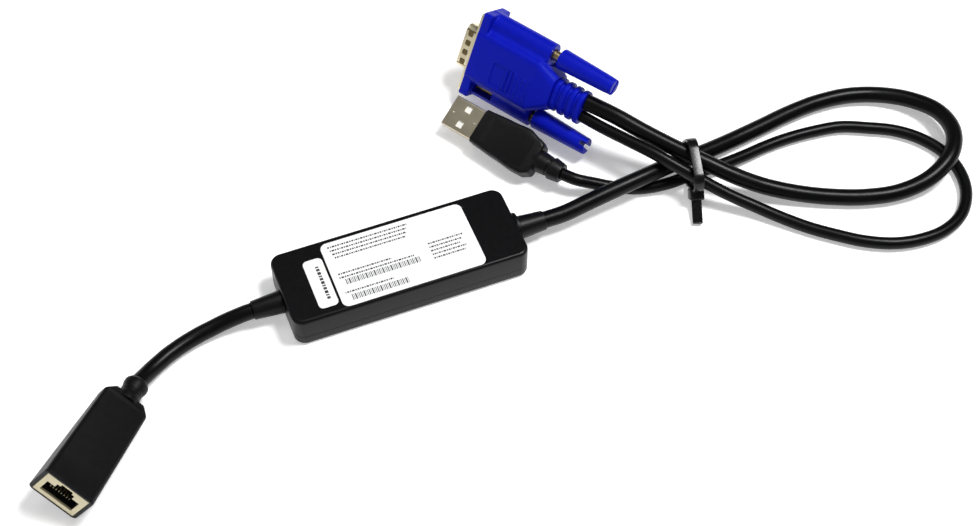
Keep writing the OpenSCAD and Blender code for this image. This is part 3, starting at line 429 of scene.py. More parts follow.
rubber_black = moulding("rubber_black", (0.003, 0.003, 0.0035), 0.38, 7000, 0.00001, shine=0.16)
wall_outline = [(0.001, -relief_behind), (relief_flange, -relief_behind), (relief_flange, -pod_wall),
                (relief_neck, -pod_wall), (relief_neck, 0)]
short_outline = wall_outline + [(0.0041, 0), (pigtail_thick / 2 + relief_lip, short_relief),
                                (0.001, short_relief)]
long_outline = wall_outline + [(0.0057, 0), (0.0057, 0.0013), (0.0042, 0.0014),
                               (main_thick / 2 + relief_lip, long_relief), (0.001, long_relief)]
at_short_end = Matrix.Translation((-pod_length / 2, 0, cable_height)) @ Matrix.Rotation(math.pi, 4, "Z")
at_long_end = Matrix.Translation((pod_length / 2, 0, cable_height))
short_sleeve = piece("pigtail_sleeve", turned(eased(short_outline, 0.0003)), rubber_black,
                     place=at_short_end)
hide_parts("pigtail_pod_relief")
long_sleeve = piece("main_sleeve", turned(eased(long_outline, 0.0003)), rubber_black,
                    place=at_long_end)
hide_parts("main_pod_relief")

# The network socket. A black wedge-shaped housing moulded round a cream socket
# whose frame lies flush in its mouth, with a neck and a ring where the lead enters.
coupler_length = 0.041
coupler_mouth = (0.0182, 0.0164)
coupler_rear = (0.0166, 0.0072)
coupler_corner = 0.0018
coupler_edge = 0.0015
coupler_lip = 0.0005
coupler_end = 0.0096
coupler_taper = 0.0036
frame_hole = (0.0155, 0.0137)
frame_seat = 0.0016
body_hole = (0.0146, 0.0116)
coupler_hollow = 0.016
coupler_place = Matrix.Translation((-0.1277, -0.0485, 0.0121))
coupler_place = coupler_place @ Matrix.Rotation(math.radians(47), 4, "Z")
coupler_place = coupler_place @ Matrix.Rotation(math.radians(7), 4, "Y")
coupler_place = coupler_place @ Matrix.Rotation(math.radians(33.5), 4, "X")


def blended(a, b, share):
    """The value that lies that share of the way from a to b."""
    return a + (b - a) * share


def at_depth(outline, depth):
    """A flat outline moved to its place along X, its first number sideways and its second up."""
    return [(depth, across, up) for across, up in outline]


def coupler_ring(depth, half_width):
    """Outline of the housing at one place along it; its height follows from the place."""
    level = coupler_length - coupler_edge
    half_height = blended(coupler_mouth[1], coupler_rear[1], min(1, depth / coupler_shoulder)) / 2
    radius = blended(coupler_corner, coupler_edge, min(1, depth / coupler_shoulder))
    if depth > level:
        radius = math.sqrt(max(coupler_edge ** 2 - (depth - level) ** 2, 1e-10))
        half_height = coupler_rear[1] / 2 - coupler_edge + radius
    return at_depth(rounded(2 * half_width, 2 * half_height, radius), depth)


housing_black = moulding("housing_black", (0.003, 0.003, 0.0035), 0.44, 8000, 0.000015, shine=0.12)
coupler_shoulder = coupler_length - coupler_taper
coupler_loops = [at_depth(rounded(*body_hole, 0.0002), coupler_hollow),
                 at_depth(rounded(*body_hole, 0.0002), frame_seat),
                 at_depth(rounded(*frame_hole, 0.0002), frame_seat),
                 at_depth(rounded(*frame_hole, 0.0002), 0.0002),
                 at_depth(rounded(frame_hole[0] + 0.0002, frame_hole[1] + 0.0002, 0.0003), 0)]
for turn in range(0, 91, 15):
    inset = coupler_lip * (1 - math.sin(math.radians(turn)))
    depth = coupler_lip * (1 - math.cos(math.radians(turn)))
    outline = rounded(coupler_mouth[0] - 2 * inset, coupler_mouth[1] - 2 * inset, coupler_corner - inset)
    coupler_loops.append(at_depth(outline, depth))
for share in (0.02, 0.25, 0.5, 0.75, 0.98):
    half_width = blended(coupler_mouth[0], coupler_rear[0], share) / 2
    coupler_loops.append(coupler_ring(coupler_shoulder * share, half_width))
shoulder_middle = Vector((coupler_shoulder, coupler_rear[0] / 2 - coupler_edge))
corner_middle = Vector((coupler_length - coupler_edge, coupler_end / 2))
chamfer = corner_middle - shoulder_middle
chamfer_turn = math.degrees(math.atan2(-chamfer.y, chamfer.x))
for middle, first, last in ((shoulder_middle, 0, chamfer_turn), (corner_middle, chamfer_turn, 90)):
    for k in range(corner_steps + 1):
        swing = math.radians(blended(first, last, k / corner_steps))
        coupler_loops.append(coupler_ring(middle.x + coupler_edge * math.sin(swing),
                                          middle.y + coupler_edge * math.cos(swing)))
coupler_housing = piece("coupler_housing", skin(bmesh.new(), coupler_loops), housing_black,
                        place=coupler_place)
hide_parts("coupler_shell")
neck_outline = [(0.001, -0.002), (0.0044, -0.002), (0.0042, 0), (0.0038, 0.0013), (0.0037, 0.0030),
                (0.00415, 0.0046), (0.00415, 0.0060), (0.0033, 0.0073), (0.001, 0.0074)]
coupler_neck = piece("coupler_neck", turned(eased(neck_outline, 0.0003)), housing_black,
                     place=coupler_place @ Matrix.Translation((coupler_length, 0, 0)))
jack_cream = moulding("jack_cream", (0.66, 0.59, 0.38), 0.42, 6000, 0.00002, patches=0.06)
cream_tree = jack_cream.node_tree
cream_shader = cream_tree.nodes["Principled BSDF"]
# The cream housing fades to near black from 0.2 to 0.9 mm inside the mouth, by depth along the mouth's axis:
# painted shade in the recess.
mouth_place = cream_tree.nodes.new("ShaderNodeTexCoord").outputs["Object"]
mouth_depth = cream_tree.nodes.new("ShaderNodeVectorMath")
mouth_depth.operation = "DOT_PRODUCT"
mouth_axis = coupler_place.to_3x3() @ Vector((1, 0, 0))
mouth_depth.inputs[1].default_value = mouth_axis
cream_tree.links.new(mouth_place, mouth_depth.inputs[0])
painted_mouth_shade = cream_tree.nodes.new("ShaderNodeMapRange")
painted_mouth_shade.inputs["From Min"].default_value = coupler_place.to_translation().dot(mouth_axis) + 0.0002
painted_mouth_shade.inputs["From Max"].default_value = coupler_place.to_translation().dot(mouth_axis) + 0.0009
cream_tree.links.new(mouth_depth.outputs["Value"], painted_mouth_shade.inputs["Value"])
painted_shade_mix = cream_tree.nodes.new("ShaderNodeMix")
painted_shade_mix.data_type = "RGBA"
painted_shade_mix.inputs["B"].default_value = (0.004, 0.004, 0.004, 1)
cream_tree.links.new(painted_mouth_shade.outputs["Result"], painted_shade_mix.inputs["Factor"])
cream_tree.links.new(cream_shader.inputs["Base Color"].links[0].from_socket, painted_shade_mix.inputs["A"])
cream_tree.links.new(painted_shade_mix.outputs["Result"], cream_shader.inputs["Base Color"])
carrier_black = moulding("carrier_black", (0.006, 0.006, 0.006), 0.6, 8000, 0.00002, shine=0.2)
plating_gold = moulding("plating_gold", (0.85, 0.65, 0.3), 0.22, 6000, 0.000004, metal=1.0, patches=0.1)
dress(jack_cream, "jack_housing")
dress(carrier_black, "jack_carrier")
dress(plating_gold, "jack_contacts")
contact_wide = 0.0004
contact_pitch = 0.00102
contact_round = 0.0004
contact_place = (0.0028, -0.0046)
# A paler, less metallic copy of the gold plating for the bends: a painted glint, so that they show bright in
# the shaded mouth.
contact_painted_glint = moulding("contact_painted_glint", (0.95, 0.84, 0.58), 0.3, 6000, 0.000004, metal=0.35, patches=0.1)
contact_bends = bmesh.new()
for k in range(8):
    bend = []
    for turn in range(0, 181, 20):
        swing = math.radians(turn)
        bend.append((contact_place[0] - contact_round * math.cos(swing),
                     contact_place[1] + contact_round * math.sin(swing)))
    middle = (k - 3.5) * contact_pitch
    skin(contact_bends, [[(x, middle + side * contact_wide / 2, z) for x, z in bend] for side in (-1, 1)])
jack_bends = piece("contact_bends", contact_bends, contact_painted_glint, place=coupler_place)

# The video plug's hood. One blue PVC moulding: a flange, a raised middle with a
# panel and grip ribs, a screw ear on each side, and a ringed strain relief behind.
vga_place = Matrix.Translation((0.05787, 0.07318, 0.01765))
vga_place = vga_place @ Matrix.Rotation(math.radians(-58.59), 4, "Z")
vga_place = vga_place @ Matrix.Rotation(math.radians(60.11), 4, "X")
hood_flange = (0.0328, 0.0134)
hood_flange_thick = 0.0035
hood_middle = (0.020, 0.014)
hood_taper = 0.0275
hood_length = 0.0344
hood_rear = (0.0134, 0.0108)
ear_length = 0.0285
ear_radius = 0.0041
ear_side = 0.012495
hood_voxel = 0.00026
ear_gaps = {"far": 0.0032, "near": 0.0016}
knob_length = 0.0228
knob_front = 0.0039
knob_rear = 0.0031
knob_play = 0.0004


def solid_of(shells):
    """One mesh object from closed shells, linked so that modifiers can work on it."""
    mesh = bpy.data.meshes.new("blank")
    whole = bmesh.new()
    for shell in shells:
        part = bpy.data.meshes.new("part")
        bmesh.ops.recalc_face_normals(shell, faces=shell.faces)
        shell.to_mesh(part)
        shell.free()
        whole.from_mesh(part)
        bpy.data.meshes.remove(part)
    whole.to_mesh(mesh)
    whole.free()
    blank = bpy.data.objects.new("blank", mesh)
    bpy.context.scene.collection.objects.link(blank)
    return blank


def worked(blank):
    """The shell that the blank's modifiers leave; the blank itself goes."""
    graph = bpy.context.evaluated_depsgraph_get()
    mesh = bpy.data.meshes.new_from_object(blank.evaluated_get(graph))
    shell = bmesh.new()
    shell.from_mesh(mesh)
    bpy.data.meshes.remove(mesh)
    bpy.data.objects.remove(blank)
    return shell


def fused(shells, voxel, rounds):
    """Overlapping shells as one moulding, with its corners and hollows eased."""
    blank = solid_of(shells)
    melt = blank.modifiers.new("melt", "REMESH")
    melt.mode = "VOXEL"
    melt.voxel_size = voxel
    ease = blank.modifiers.new("ease", "SMOOTH")
    ease.iterations = rounds
    return worked(blank)


def carved(shell, cutters):
    """The shell with each cutter taken out of it."""
    blank = solid_of([shell])
    tools = [solid_of([cutter]) for cutter in cutters]
    for tool in tools:
        cut = blank.modifiers.new("cut", "BOOLEAN")
        cut.operation = "DIFFERENCE"
        cut.solver = "EXACT"
        cut.object = tool
    shell = worked(blank)
    for tool in tools:
        bpy.data.objects.remove(tool)
    return shell


def bar(outline, start, end, side=0, rise=0):
    """A closed prism along X with that outline, moved sideways and up."""
    return skin(bmesh.new(), [[(x, y + side, z + rise) for x, y, z in at_depth(outline, x0)]
                              for x0 in (start, end)])


def disc(radius, sides=turned_sides):
    """Outline of a circle."""
    return [(radius * math.cos(2 * math.pi * k / sides), radius * math.sin(2 * math.pi * k / sides))
            for k in range(sides)]


hood_blue = moulding("hood_blue", (0.002, 0.006, 0.36), 0.42, 5000, 0.00002, shine=0.25, patches=0.08,
                     tint=(0.3, 0.4, 1))
hood_parts = [bar(rounded(*hood_flange, 0.001), 0, hood_flange_thick),
              bar(rounded(*hood_middle, 0.0022), 0, hood_taper)]
hood_parts.append(skin(bmesh.new(), [at_depth(rounded(*hood_middle, 0.0022), hood_taper - 0.0004),
                                     at_depth(rounded(*hood_rear, 0.004), hood_length)]))
hood_parts.append(bar(rounded(2 * ear_side, 2 * ear_radius, 0.0002), 0, ear_length))
valley = [(0.0060, 0.0036), (0.0122, 0.0036), (0.0122, 0.0039), (0.0112, 0.0042), (0.0076, 0.0068),
          (0.0060, 0.0070)]
for side in (1, -1):
    hood_parts.append(bar(disc(ear_radius), 0, ear_length, side=side * ear_side))
    for top in (1, -1):
        hood_parts.append(bar([(side * y, top * z) for y, z in valley], 0, hood_taper))
hood_shell = fused(hood_parts, hood_voxel, 6)
hood_cutters = [bar(rounded(0.031, 0.0127, 0.0008), -0.001, 0.0009)]
for side in (1, -1):
    hood_cutters.append(bar(disc(0.0016), -0.001, 0.030, side=side * ear_side))
    hood_cutters.append(bar(disc(0.0027), 0.0215, 0.0275, side=side * ear_side))
    hood_cutters.append(bar(disc(0.0022), 0.0270, 0.030, side=side * ear_side))
    window_end = 0.0092 if side > 0 else 0.0122
    hood_cutters.append(bar(rounded(0.0035, 0.006, 0.0004), 0.0037, window_end, side=side * ear_side,
                            rise=-side * 0.003))
    hood_cutters.append(bar(disc(knob_front + knob_play), ear_length + 0.0005, hood_length + 0.001,
                            side=side * ear_side))
panel_middle = 0.01505
panel_side = -0.0026
panel = [(panel_middle + x, panel_side + y) for x, y in rounded(0.0095, 0.0086, 0.001)]
hood_cutters.append(skin(bmesh.new(), [[(x, y, z) for x, y in panel] for z in (0.0067, 0.009)]))
hood_shell = carved(hood_shell, hood_cutters)
hood = piece("hood", hood_shell, hood_blue, place=vga_place, sharp=50)
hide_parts("vga_hood")


def stadium(radius, offset, steps=12):
    """Outline of an oval with straight long sides."""
    outline = []
    for side in (1, -1):
        for k in range(steps + 1):
            turn = math.radians(-90 * side + 180 * k / steps)
            outline.append((side * offset + radius * math.cos(turn), radius * math.sin(turn)))
    return outline


hood_relief_length = 0.0122
ring_radius = 0.0044
groove_radius = 0.0034
ring_length = 0.002
ring_pitch = (hood_relief_length - ring_length) / 3
relief_outline = [(groove_radius, -0.002)]
for ring in range(4):
    start = ring * ring_pitch
    relief_outline += [(groove_radius, start), (ring_radius, start + 0.0001)]
    relief_outline += [(ring_radius, start + ring_length)]
    relief_outline += [(groove_radius, start + ring_length + 0.0001)]
relief_outline = relief_outline[:-1] + [(groove_radius, hood_relief_length)]
relief_loops = [at_depth(stadium(r, 0.0021), hood_length + x) for r, x in eased(relief_outline, 0.0005)]
hood_sleeve = piece("hood_sleeve", skin(bmesh.new(), relief_loops), hood_blue, place=vga_place)
rib_count = 6
rib_start = 0.0159
rib_pitch = 0.0019
rib_half = 0.00045
grip_ribs = bmesh.new()
for rib in range(rib_count):
    start = rib_start + rib * rib_pitch
    rib_top = [(start + x, panel_side + y) for x, y in rounded(0.0009, 0.008, 0.0004)]
    lid = [(start + x, panel_side + y) for x, y in rounded(0.0005, 0.0076, 0.0002)]
    skin(grip_ribs, [[(x + rib_half, y, 0.0064) for x, y in rib_top],
                     [(x + rib_half, y, 0.0071) for x, y in rib_top],
                     [(x + rib_half, y, 0.0073) for x, y in lid]])
hood_ribs = piece("hood_ribs", grip_ribs, hood_blue, place=vga_place)

# The metal and the contacts of the video plug. Two pressed plates of yellow
# plated steel hold a dark insulator with fifteen gold pins; the hood covers the rest.
plate_plated = moulding("plate_plated", (0.80, 0.72, 0.50), 0.3, 3000, 0.00001, metal=0.85, patches=0.1)
# A dark copy of the plating: painted shade for the dimples' hollows.
plate_painted_shade = moulding("plate_painted_shade", (0.16, 0.12, 0.05), 0.5, 3000, 0.00002, metal=0.6, patches=0.3)
plate_size = (0.0308, 0.0125)
plate_thick = 0.0009
shell_size = (0.01692, 0.00836)
shell_long = 0.0052
shell_thick = 0.0004
shell_corner = 0.0026
shell_slope = 10
dimple_size = 0.0022
dimple_depth = 0.0003
dimple_pitch = 0.0037
dimple_place = -0.0038


def d_outline(inset, steps=8):
    """The shell's outline: two sides lean in towards the lower, shorter long side."""
    width, height = (size - 2 * inset for size in shell_size)
    radius = shell_corner - inset
    lean = (height - 2 * radius) * math.tan(math.radians(shell_slope))
    shift = radius * (1 / math.cos(math.radians(shell_slope)) - 1) + lean
    outline = []
    for y, z, first, last in ((width / 2 - radius, height / 2 - radius, -shell_slope, 90),
                              (radius - width / 2, height / 2 - radius, 90, 180 + shell_slope),
                              (radius - width / 2 + shift, radius - height / 2, 180 + shell_slope, 270),
                              (width / 2 - radius - shift, radius - height / 2, 270, 360 - shell_slope)):
        for k in range(steps + 1):
            turn = math.radians(first + (last - first) * k / steps)
            outline.append((y + radius * math.cos(turn), z + radius * math.sin(turn)))
    return outline


shell_rim = -plate_thick - shell_long
shell_loops = [at_depth(d_outline(shell_thick), 0), at_depth(d_outline(shell_thick), shell_rim + 0.0001),
               at_depth(d_outline(shell_thick - 0.0001), shell_rim), at_depth(d_outline(0.0001), shell_rim),
               at_depth(d_outline(0), shell_rim + 0.0001), at_depth(d_outline(0), -plate_thick - 0.0006),
               at_depth(d_outline(-0.0002), -plate_thick - 0.0002),
               at_depth(d_outline(-0.0006), -plate_thick),
               at_depth(d_outline(-0.0006), 0)]
video_tube = skin(bmesh.new(), shell_loops, closed=True)
dimple_cuts = []
for k in range(4):
    for top in (1, -1):
        low, high = (top * (shell_size[1] / 2 - dimple_depth), top * (shell_size[1] / 2 + dimple_depth))
        dimple_ends = ((dimple_size * 0.8, low), (dimple_size * 1.2, high))
        dimple_cuts.append(skin(bmesh.new(), [[(x + dimple_place, y + (k - 1.5) * dimple_pitch, z)
                                               for x, y in rounded(size, size, size * 0.25, 4)]
                                              for size, z in dimple_ends]))
video_tube = carved(video_tube, dimple_cuts)
# Faces inside the dimples take the dark copy of the plating, painted shade in the dents.
for face in video_tube.faces:
    spot = face.calc_center_median()
    nearest = (round(spot.y / dimple_pitch - 0.5) + 0.5) * dimple_pitch
    inside = max(abs(spot.x - dimple_place), abs(spot.y - nearest)) < dimple_size / 2
    depth = shell_size[1] / 2 - abs(spot.z)
    if inside and dimple_depth * 0.1 < depth < shell_thick * 0.9:
        face.material_index = 1
video_shell = piece("video_shell", video_tube, plate_plated, place=vga_place)
video_shell.data.materials.append(plate_painted_shade)
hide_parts("vga_front_shell")
plate_blank = bar(rounded(*plate_size, 0.001), -plate_thick, 0)
plate_cuts = [bar(d_outline(-0.0005), -0.002, 0.001)]
plate_cuts += [bar(disc(0.0017), -0.002, 0.001, side=side * ear_side) for side in (1, -1)]
video_plate = piece("video_plate", carved(plate_blank, plate_cuts), plate_plated,
                    place=vga_place)
insulator_dark = moulding("insulator_dark", (0.02, 0.02, 0.03), 0.5, 8000, 0.00001)
core_white = moulding("core_white", (0.78, 0.76, 0.7), 0.5, 4000, 0.00003, patches=0.08)
clip_steel = moulding("clip_steel", (0.5, 0.5, 0.52), 0.3, 5000, 0.00001, metal=1.0, patches=0.1)
dress(plate_plated, "vga_rear_shell")
dress(insulator_dark, "vga_insulator")
dress(plating_gold, "vga_pins")
dress(core_white, "vga_inner_mould", "usb_inner_mould")
dress(clip_steel, "far_clip", "near_clip")

# The thumbscrews. A plated steel screw turns in each ear, and its end is
# pressed into a long blue knob, tapered, with a slot for a screwdriver.
screw_steel = moulding("screw_steel", (0.42, 0.33, 0.16), 0.3, 7000, 0.00003, metal=1.0, patches=0.2)
knob_outline = [(0.0019, 0.008), (0.0019, 0), (knob_front, 0), (knob_rear, knob_length),
                (0.0005, knob_length)]
slot_width = 0.0017
slot_depth = 0.0024
for name, side, slot_turn in (("far", 1, -25), ("near", -1, 60)):
    knob_shell = turned(eased(knob_outline, 0.0005))
    slot_cut = bar(rounded(0.0084, slot_width, 0.0002, 3), knob_length - slot_depth, knob_length + 0.001)
    slot_cut.transform(Matrix.Rotation(math.radians(slot_turn), 4, "X"))
    knob_shell = carved(knob_shell, [slot_cut])
    at_knob = vga_place @ Matrix.Translation((ear_length + ear_gaps[name], side * ear_side, 0))
    knob = piece(name + "_grip", knob_shell, hood_blue, body=name + "_thumbscrew",
                 place=at_knob)
    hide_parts(name + "_knob")
    dress(screw_steel, name + "_screw")

# The USB plug's grip. A black moulding with a flat front collar, a shallow
# panel on both broad sides and a swollen, lopsided rear end to push on.
usb_place = Matrix.Translation((0.04059, 0.05807, 0.00732))
usb_place = usb_place @ Matrix.Rotation(math.radians(-58.11), 4, "Z")
usb_place = usb_place @ Matrix.Rotation(math.radians(28.16), 4, "X")
shell_out = 0.0131
grip_length = 0.0263
far_edge = [(0, 0.0067), (0.42, 0.0075), (0.69, 0.0081), (0.90, 0.0068), (1, 0.0056)]
near_edge = [(0, 0.0067), (0.42, 0.0075), (0.69, 0.0081), (0.86, 0.0080), (1, 0.0064)]
grip_heights = [(0, 0.008), (0.69, 0.008), (1, 0.0072)]


def along(knots, share):
    """Value at that share of the way, eased between the knots."""
    for (a, low), (b, high) in zip(knots, knots[1:]):
        if share <= b:
            t = (share - a) / (b - a)
            return blended(low, high, t * t * (3 - 2 * t))
    return knots[-1][1]


def grip_loop(share, inset, corner=0.0014):
    """Outline of the grip at one place along it, drawn in by an inset."""
    far = along(far_edge, share) - inset
    near = along(near_edge, share) - inset
    outline = rounded(far + near, along(grip_heights, share) - 2 * inset, corner)
    return at_depth([(y + (far - near) / 2, z) for y, z in outline], shell_out + share * grip_length)


grip_black = moulding("grip_black", (0.0035, 0.0035, 0.004), 0.38, 8000, 0.00002, shine=0.22)
grip_loops = [grip_loop(0, 0.0008, 0.0008), grip_loop(0.004, 0.0004), grip_loop(0.02, 0)]
grip_loops += [grip_loop(k / 40, 0) for k in range(2, 38)]
for turn in range(0, 91, 15):
    swing = math.radians(turn)
    grip_loops.append(grip_loop(0.965 + 0.035 * math.sin(swing), 0.0009 * (1 - math.cos(swing))))
grip_shell = skin(bmesh.new(), grip_loops)
grip_cutters = [bar(rounded(0.0122, 0.0047, 0.0006), 0.010, shell_out + 0.0036)]
panel_points = []
for k in range(13):
    share = 0.14 + 0.74 * k / 12
    panel_points.append((shell_out + share * grip_length, along(far_edge, share) - 0.0017))
for k in range(13):
    share = 0.88 - 0.74 * k / 12
    panel_points.append((shell_out + share * grip_length, 0.0017 - along(near_edge, share)))
for top in (1, -1):
    middle = shell_out + 0.51 * grip_length
    panel_walls = ((0.93, 0.0037), (1, 0.00405), (1.2, 0.006))
    grip_cutters.append(skin(bmesh.new(), [[(middle + (x - middle) * size, y * size, top * z)
                                            for x, y in panel_points] for size, z in panel_walls]))
grip = piece("usb_grip", carved(grip_shell, grip_cutters), grip_black,
             place=usb_place, sharp=30)
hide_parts("usb_overmould")
usb_relief_length = 0.010
usb_relief_outline = [(0.001, -0.002), (0.0036, -0.002), (0.0041, 0.0004), (0.0037, 0.0045),
                      (0.0032, 0.0046), (0.0032, 0.0054), (0.0042, 0.0055),
                      (0.0035, usb_relief_length), (0.001, usb_relief_length)]
at_relief = usb_place @ Matrix.Translation((shell_out + grip_length, 0, 0))
usb_sleeve = piece("usb_sleeve", turned(eased(usb_relief_outline, 0.0004)), grip_black,
                   place=at_relief)
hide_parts("usb_relief")
shell_nickel = moulding("shell_nickel", (0.60, 0.54, 0.40), 0.3, 2500, 0.00001, metal=1.0, patches=0.15)
dress(shell_nickel, "usb_shell")
dress(nylon_white, "usb_tongue")
dress(plating_gold, "usb_contacts")

# The three cables. Black PVC jackets, glossy and slightly uneven, each laid in
# the loose loops that the photograph shows and moulded into a relief at both ends.
jacket_sides = 24
jacket_steps = 8


def line_through(points, steps=jacket_steps):
    """A smooth line through all the points."""
    marks = [Vector(p) for p in points]
    marks = [marks[0] * 2 - marks[1]] + marks + [marks[-1] * 2 - marks[-2]]
    line = []
    for a, b, c, d in zip(marks, marks[1:], marks[2:], marks[3:]):
        for k in range(steps):
            t = k / steps
            bend = (2 * a - 5 * b + 4 * c - d) * t ** 2 + (3 * b - a - 3 * c + d) * t ** 3
            line.append((2 * b + (c - a) * t + bend) / 2)
    line.append(marks[-2])
    return line


def jacket(line, thick):
    """A tube round the line, with its distance along it as the second texture coordinate."""
    shell = bmesh.new()
    map_layer = shell.loops.layers.uv.new("lay")
    side = (line[1] - line[0]).cross(Vector((0, 0, 1))).normalized()
    rings = []
    far = [0]
    for k, point in enumerate(line):
        ahead = (line[min(k + 1, len(line) - 1)] - line[max(k - 1, 0)]).normalized()
        side = (side - ahead * side.dot(ahead)).normalized()
        up = side.cross(ahead)
        angles = [2 * math.pi * j / jacket_sides for j in range(jacket_sides)]
        rings.append([shell.verts.new(point + thick / 2 * (math.cos(a) * side + math.sin(a) * up))
                      for a in angles])
        if k:
            far.append(far[-1] + (point - line[k - 1]).length)
    for k in range(len(rings) - 1):
        for j in range(jacket_sides):
            n = (j + 1) % jacket_sides
            face = shell.faces.new((rings[k][j], rings[k][n], rings[k + 1][n], rings[k + 1][j]))
            marks = [(j, k), (j + 1, k), (j + 1, k + 1), (j, k + 1)]
            for corner, (around, ring) in zip(face.loops, marks):
                corner[map_layer].uv = (around / jacket_sides, far[ring])
    shell.faces.new(rings[0])
    shell.faces.new(rings[-1])
    return shell, far[-1]


jacket_black = moulding("jacket_black", (0.0022, 0.0022, 0.0026), 0.32, 1500, 0.000015, shine=0.13)
pigtail_end = coupler_place @ Vector((coupler_length + 0.0074, 0, 0))
main_end = vga_place @ Vector((hood_length + hood_relief_length, 0.0026, 0))
usb_start = vga_place @ Vector((hood_length + hood_relief_length, -0.003, 0))
usb_end = usb_place @ Vector((shell_out + grip_length + usb_relief_length, 0, 0))
pigtail_exit = Vector((-pod_length / 2 - short_relief, 0, cable_height))
main_exit = Vector((pod_length / 2 + long_relief, 0, cable_height))

pigtail_way = [
    (-0.0925, -0.0112, 0.0052), (-0.0900, -0.0092, 0.0045), (-0.0870, -0.0072, 0.0040),
    (-0.0840, -0.0054, 0.0037), (-0.0810, -0.0039, 0.0034), (-0.0775, -0.0025, 0.0033),
    (-0.0740, -0.0014, 0.0033), (-0.0705, -0.0006, 0.0035), (-0.0670, -0.0001, 0.0038),
    (-0.0640, 0.0002, 0.0043), (-0.0610, 0.0003, 0.0049), (-0.0580, 0.0002, 0.0056),
    (-0.0550, 0.0001, 0.0062)]
main_way = [
    (0.0610, 0, 0.0067), (0.0700, 0.0010, 0.0074), (0.0790, 0.0020, 0.0081),
    (0.0880, 0.0030, 0.0085), (0.0970, 0.0045, 0.0081), (0.1050, 0.0065, 0.0066),
    (0.1130, 0.0080, 0.0052), (0.1220, 0.0095, 0.0041), (0.1330, 0.0115, 0.0032),
    (0.1450, 0.0135, 0.0030), (0.1570, 0.0155, 0.0030), (0.1690, 0.0165, 0.0030),
    (0.1810, 0.0155, 0.0030), (0.1920, 0.0115, 0.0033), (0.2010, 0.0045, 0.0044),
    (0.2065, -0.0055, 0.0064), (0.2060, -0.0170, 0.0080), (0.1995, -0.0265, 0.0079),
    (0.1890, -0.0315, 0.0056), (0.1770, -0.0320, 0.0035), (0.1650, -0.0295, 0.0030),
    (0.1535, -0.0250, 0.0030), (0.1425, -0.0195, 0.0036), (0.1320, -0.0135, 0.0054),
    (0.1230, -0.0075, 0.0083), (0.1145, 0, 0.0112), (0.1060, 0.0085, 0.0136),
    (0.0980, 0.0170, 0.0161), (0.0905, 0.0255, 0.0187)]
usb_way = [
    (0.0855, 0.0250, 0.0151), (0.0915, 0.0160, 0.0153), (0.0975, 0.0080, 0.0148),
    (0.1040, 0.0005, 0.0126), (0.1110, -0.0065, 0.0095), (0.1180, -0.0130, 0.0064),
    (0.1255, -0.0195, 0.0040), (0.1325, -0.0265, 0.0027), (0.1395, -0.0335, 0.0022),
    (0.1470, -0.0400, 0.0022), (0.1550, -0.0460, 0.0022), (0.1640, -0.0505, 0.0022),
    (0.1735, -0.0525, 0.0022), (0.1835, -0.0520, 0.0022), (0.1925, -0.0480, 0.0022),
    (0.1990, -0.0405, 0.0022), (0.2020, -0.0315, 0.0022), (0.2015, -0.0215, 0.0022),
    (0.1970, -0.0125, 0.0022), (0.1900, -0.0055, 0.0022), (0.1810, -0.0005, 0.0022),
    (0.1720, 0.0035, 0.0022), (0.1620, 0.0050, 0.0022), (0.1520, 0.0055, 0.0022),
    (0.1425, 0.0050, 0.0022), (0.1325, 0.0035, 0.0026), (0.1225, 0.0022, 0.0034),
    (0.1125, 0.0015, 0.0043), (0.1025, 0.0015, 0.0032), (0.0925, 0.0035, 0.0022),
    (0.0830, 0.0070, 0.0032), (0.0760, 0.0100, 0.0051), (0.0705, 0.0124, 0.0068)]
usb_thick = 0.0044

pigtail_line = line_through([pigtail_exit] + pigtail_way[::-1] + [pigtail_end])
main_line = line_through([main_exit] + main_way + [main_end])
usb_line = line_through([usb_start] + usb_way + [usb_end])
pigtail_shell, pigtail_length = jacket(pigtail_line, pigtail_thick)
main_shell, main_length = jacket(main_line, main_thick)
usb_shell, usb_length = jacket(usb_line, usb_thick)
pigtail_jacket = piece("pigtail_jacket", pigtail_shell, jacket_black)
main_jacket = piece("main_jacket", main_shell, jacket_black)
usb_jacket = piece("usb_jacket", usb_shell, jacket_black)
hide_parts("pigtail_cable")
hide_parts("main_cable")
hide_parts("usb_cable")

# The cable tie. A black nylon band drawn tight round all four strands, with its
# head on the near side and the cut tail, ribbed on one face, hanging from it.
tie_width = 0.0036
tie_thick = 0.001
tie_place = Matrix.Translation((0.1102, 0, 0)) @ Matrix.Rotation(math.radians(-13), 4, "Z")
tie_corners = [(0.0082, 0.0058, 0.0047), (0.0041, 0.0125, 0.0047), (-0.0049, 0.0102, 0.0040),
               (0.0013, 0.0042, 0.0031)]
tie_head = (0.0050, 0.0052, 0.0042)
tie_head_at = (-0.0071, 0.0038)
tie_tail = 0.009


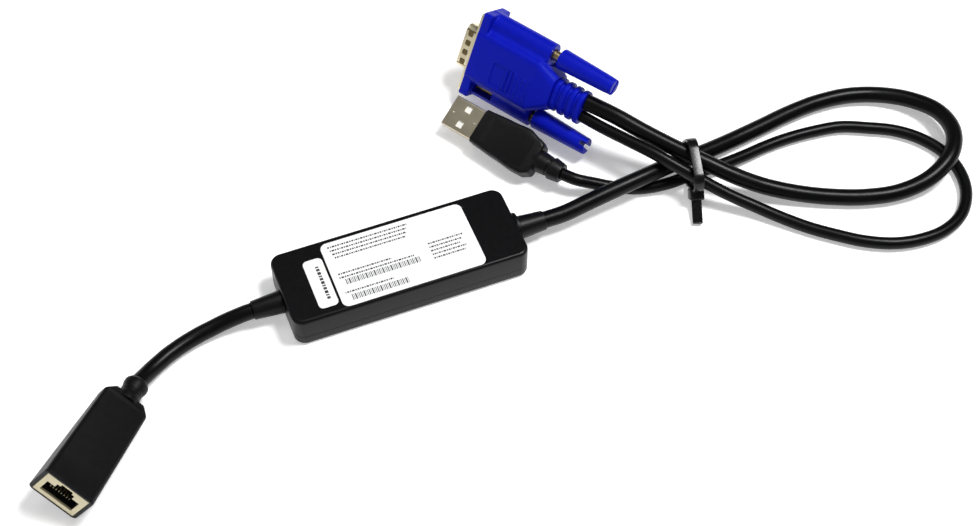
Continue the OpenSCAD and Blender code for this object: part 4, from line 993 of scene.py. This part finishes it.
def wrapped(circles, sides=96):
    """The tight outline round circles given as (place, height, radius)."""
    points = []
    for place, height, radius in circles:
        points += [(place + y, height + z) for y, z in disc(radius, sides)]
    points = sorted(set(points))
    halves = []
    for run in (points, points[::-1]):
        half = []
        for p in run:
            while len(half) > 1:
                a = half[-2]
                b = half[-1]
                if (b[0] - a[0]) * (p[1] - a[1]) - (b[1] - a[1]) * (p[0] - a[0]) > 0:
                    break
                half.pop()
            half.append(p)
        halves += half[:-1]
    return [Vector(p) for p in halves]


def band_loops():
    """The band's round-edged section at every corner of the outline."""
    line = wrapped([(y, z, r + tie_thick / 2) for y, z, r in tie_corners])
    loops = []
    for k, point in enumerate(line):
        ahead = (line[(k + 1) % len(line)] - line[k - 1]).normalized()
        outward = Vector((ahead.y, -ahead.x))
        loops.append([(x, point.x + outward.x * z, point.y + outward.y * z)
                      for x, z in rounded(tie_width, tie_thick, tie_thick * 0.3, 4)])
    return loops


nylon_black = moulding("nylon_black", (0.004, 0.004, 0.0045), 0.26, 6000, 0.00001, shine=0.3)
tie_band = piece("tie_band", skin(bmesh.new(), band_loops(), closed=True), nylon_black,
                 place=tie_place)
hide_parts("cable_tie")
head_loops = []
for share, inset in ((0, 0.0007), (0.04, 0.0002), (0.1, 0), (0.9, 0), (0.96, 0.0002), (1, 0.0007)):
    outline = rounded(tie_head[0] - 2 * inset, tie_head[2] - 2 * inset, 0.0007)
    head_loops.append([(y, x, z) for x, y, z in at_depth(outline, (share - 0.5) * tie_head[1])])
at_head = tie_place @ Matrix.Translation((0, tie_head_at[0], tie_head_at[1]))
head_turn = Matrix.Rotation(math.radians(-44), 4, "X")
tie_lock = piece("tie_head", skin(bmesh.new(), head_loops), nylon_black,
                 place=at_head @ head_turn)
tail_turn = Matrix.Rotation(math.radians(-8), 4, "Z") @ Matrix.Rotation(math.radians(13), 4, "X")
tail_loops = []
for k in range(45):
    y = -tie_head[0] / 2 - tie_tail + k * (tie_tail + 0.001) / 44
    half = tie_thick / 2 - (0.00012 if k % 2 else 0)
    outline = rounded(tie_width - (0.0006 if k == 0 else 0), 2 * half, half * 0.5, 3)
    tail_loops.append([(x, y, z) for x, z in outline])
tie_end = piece("tie_tail", skin(bmesh.new(), tail_loops), nylon_black,
                place=at_head @ tail_turn)
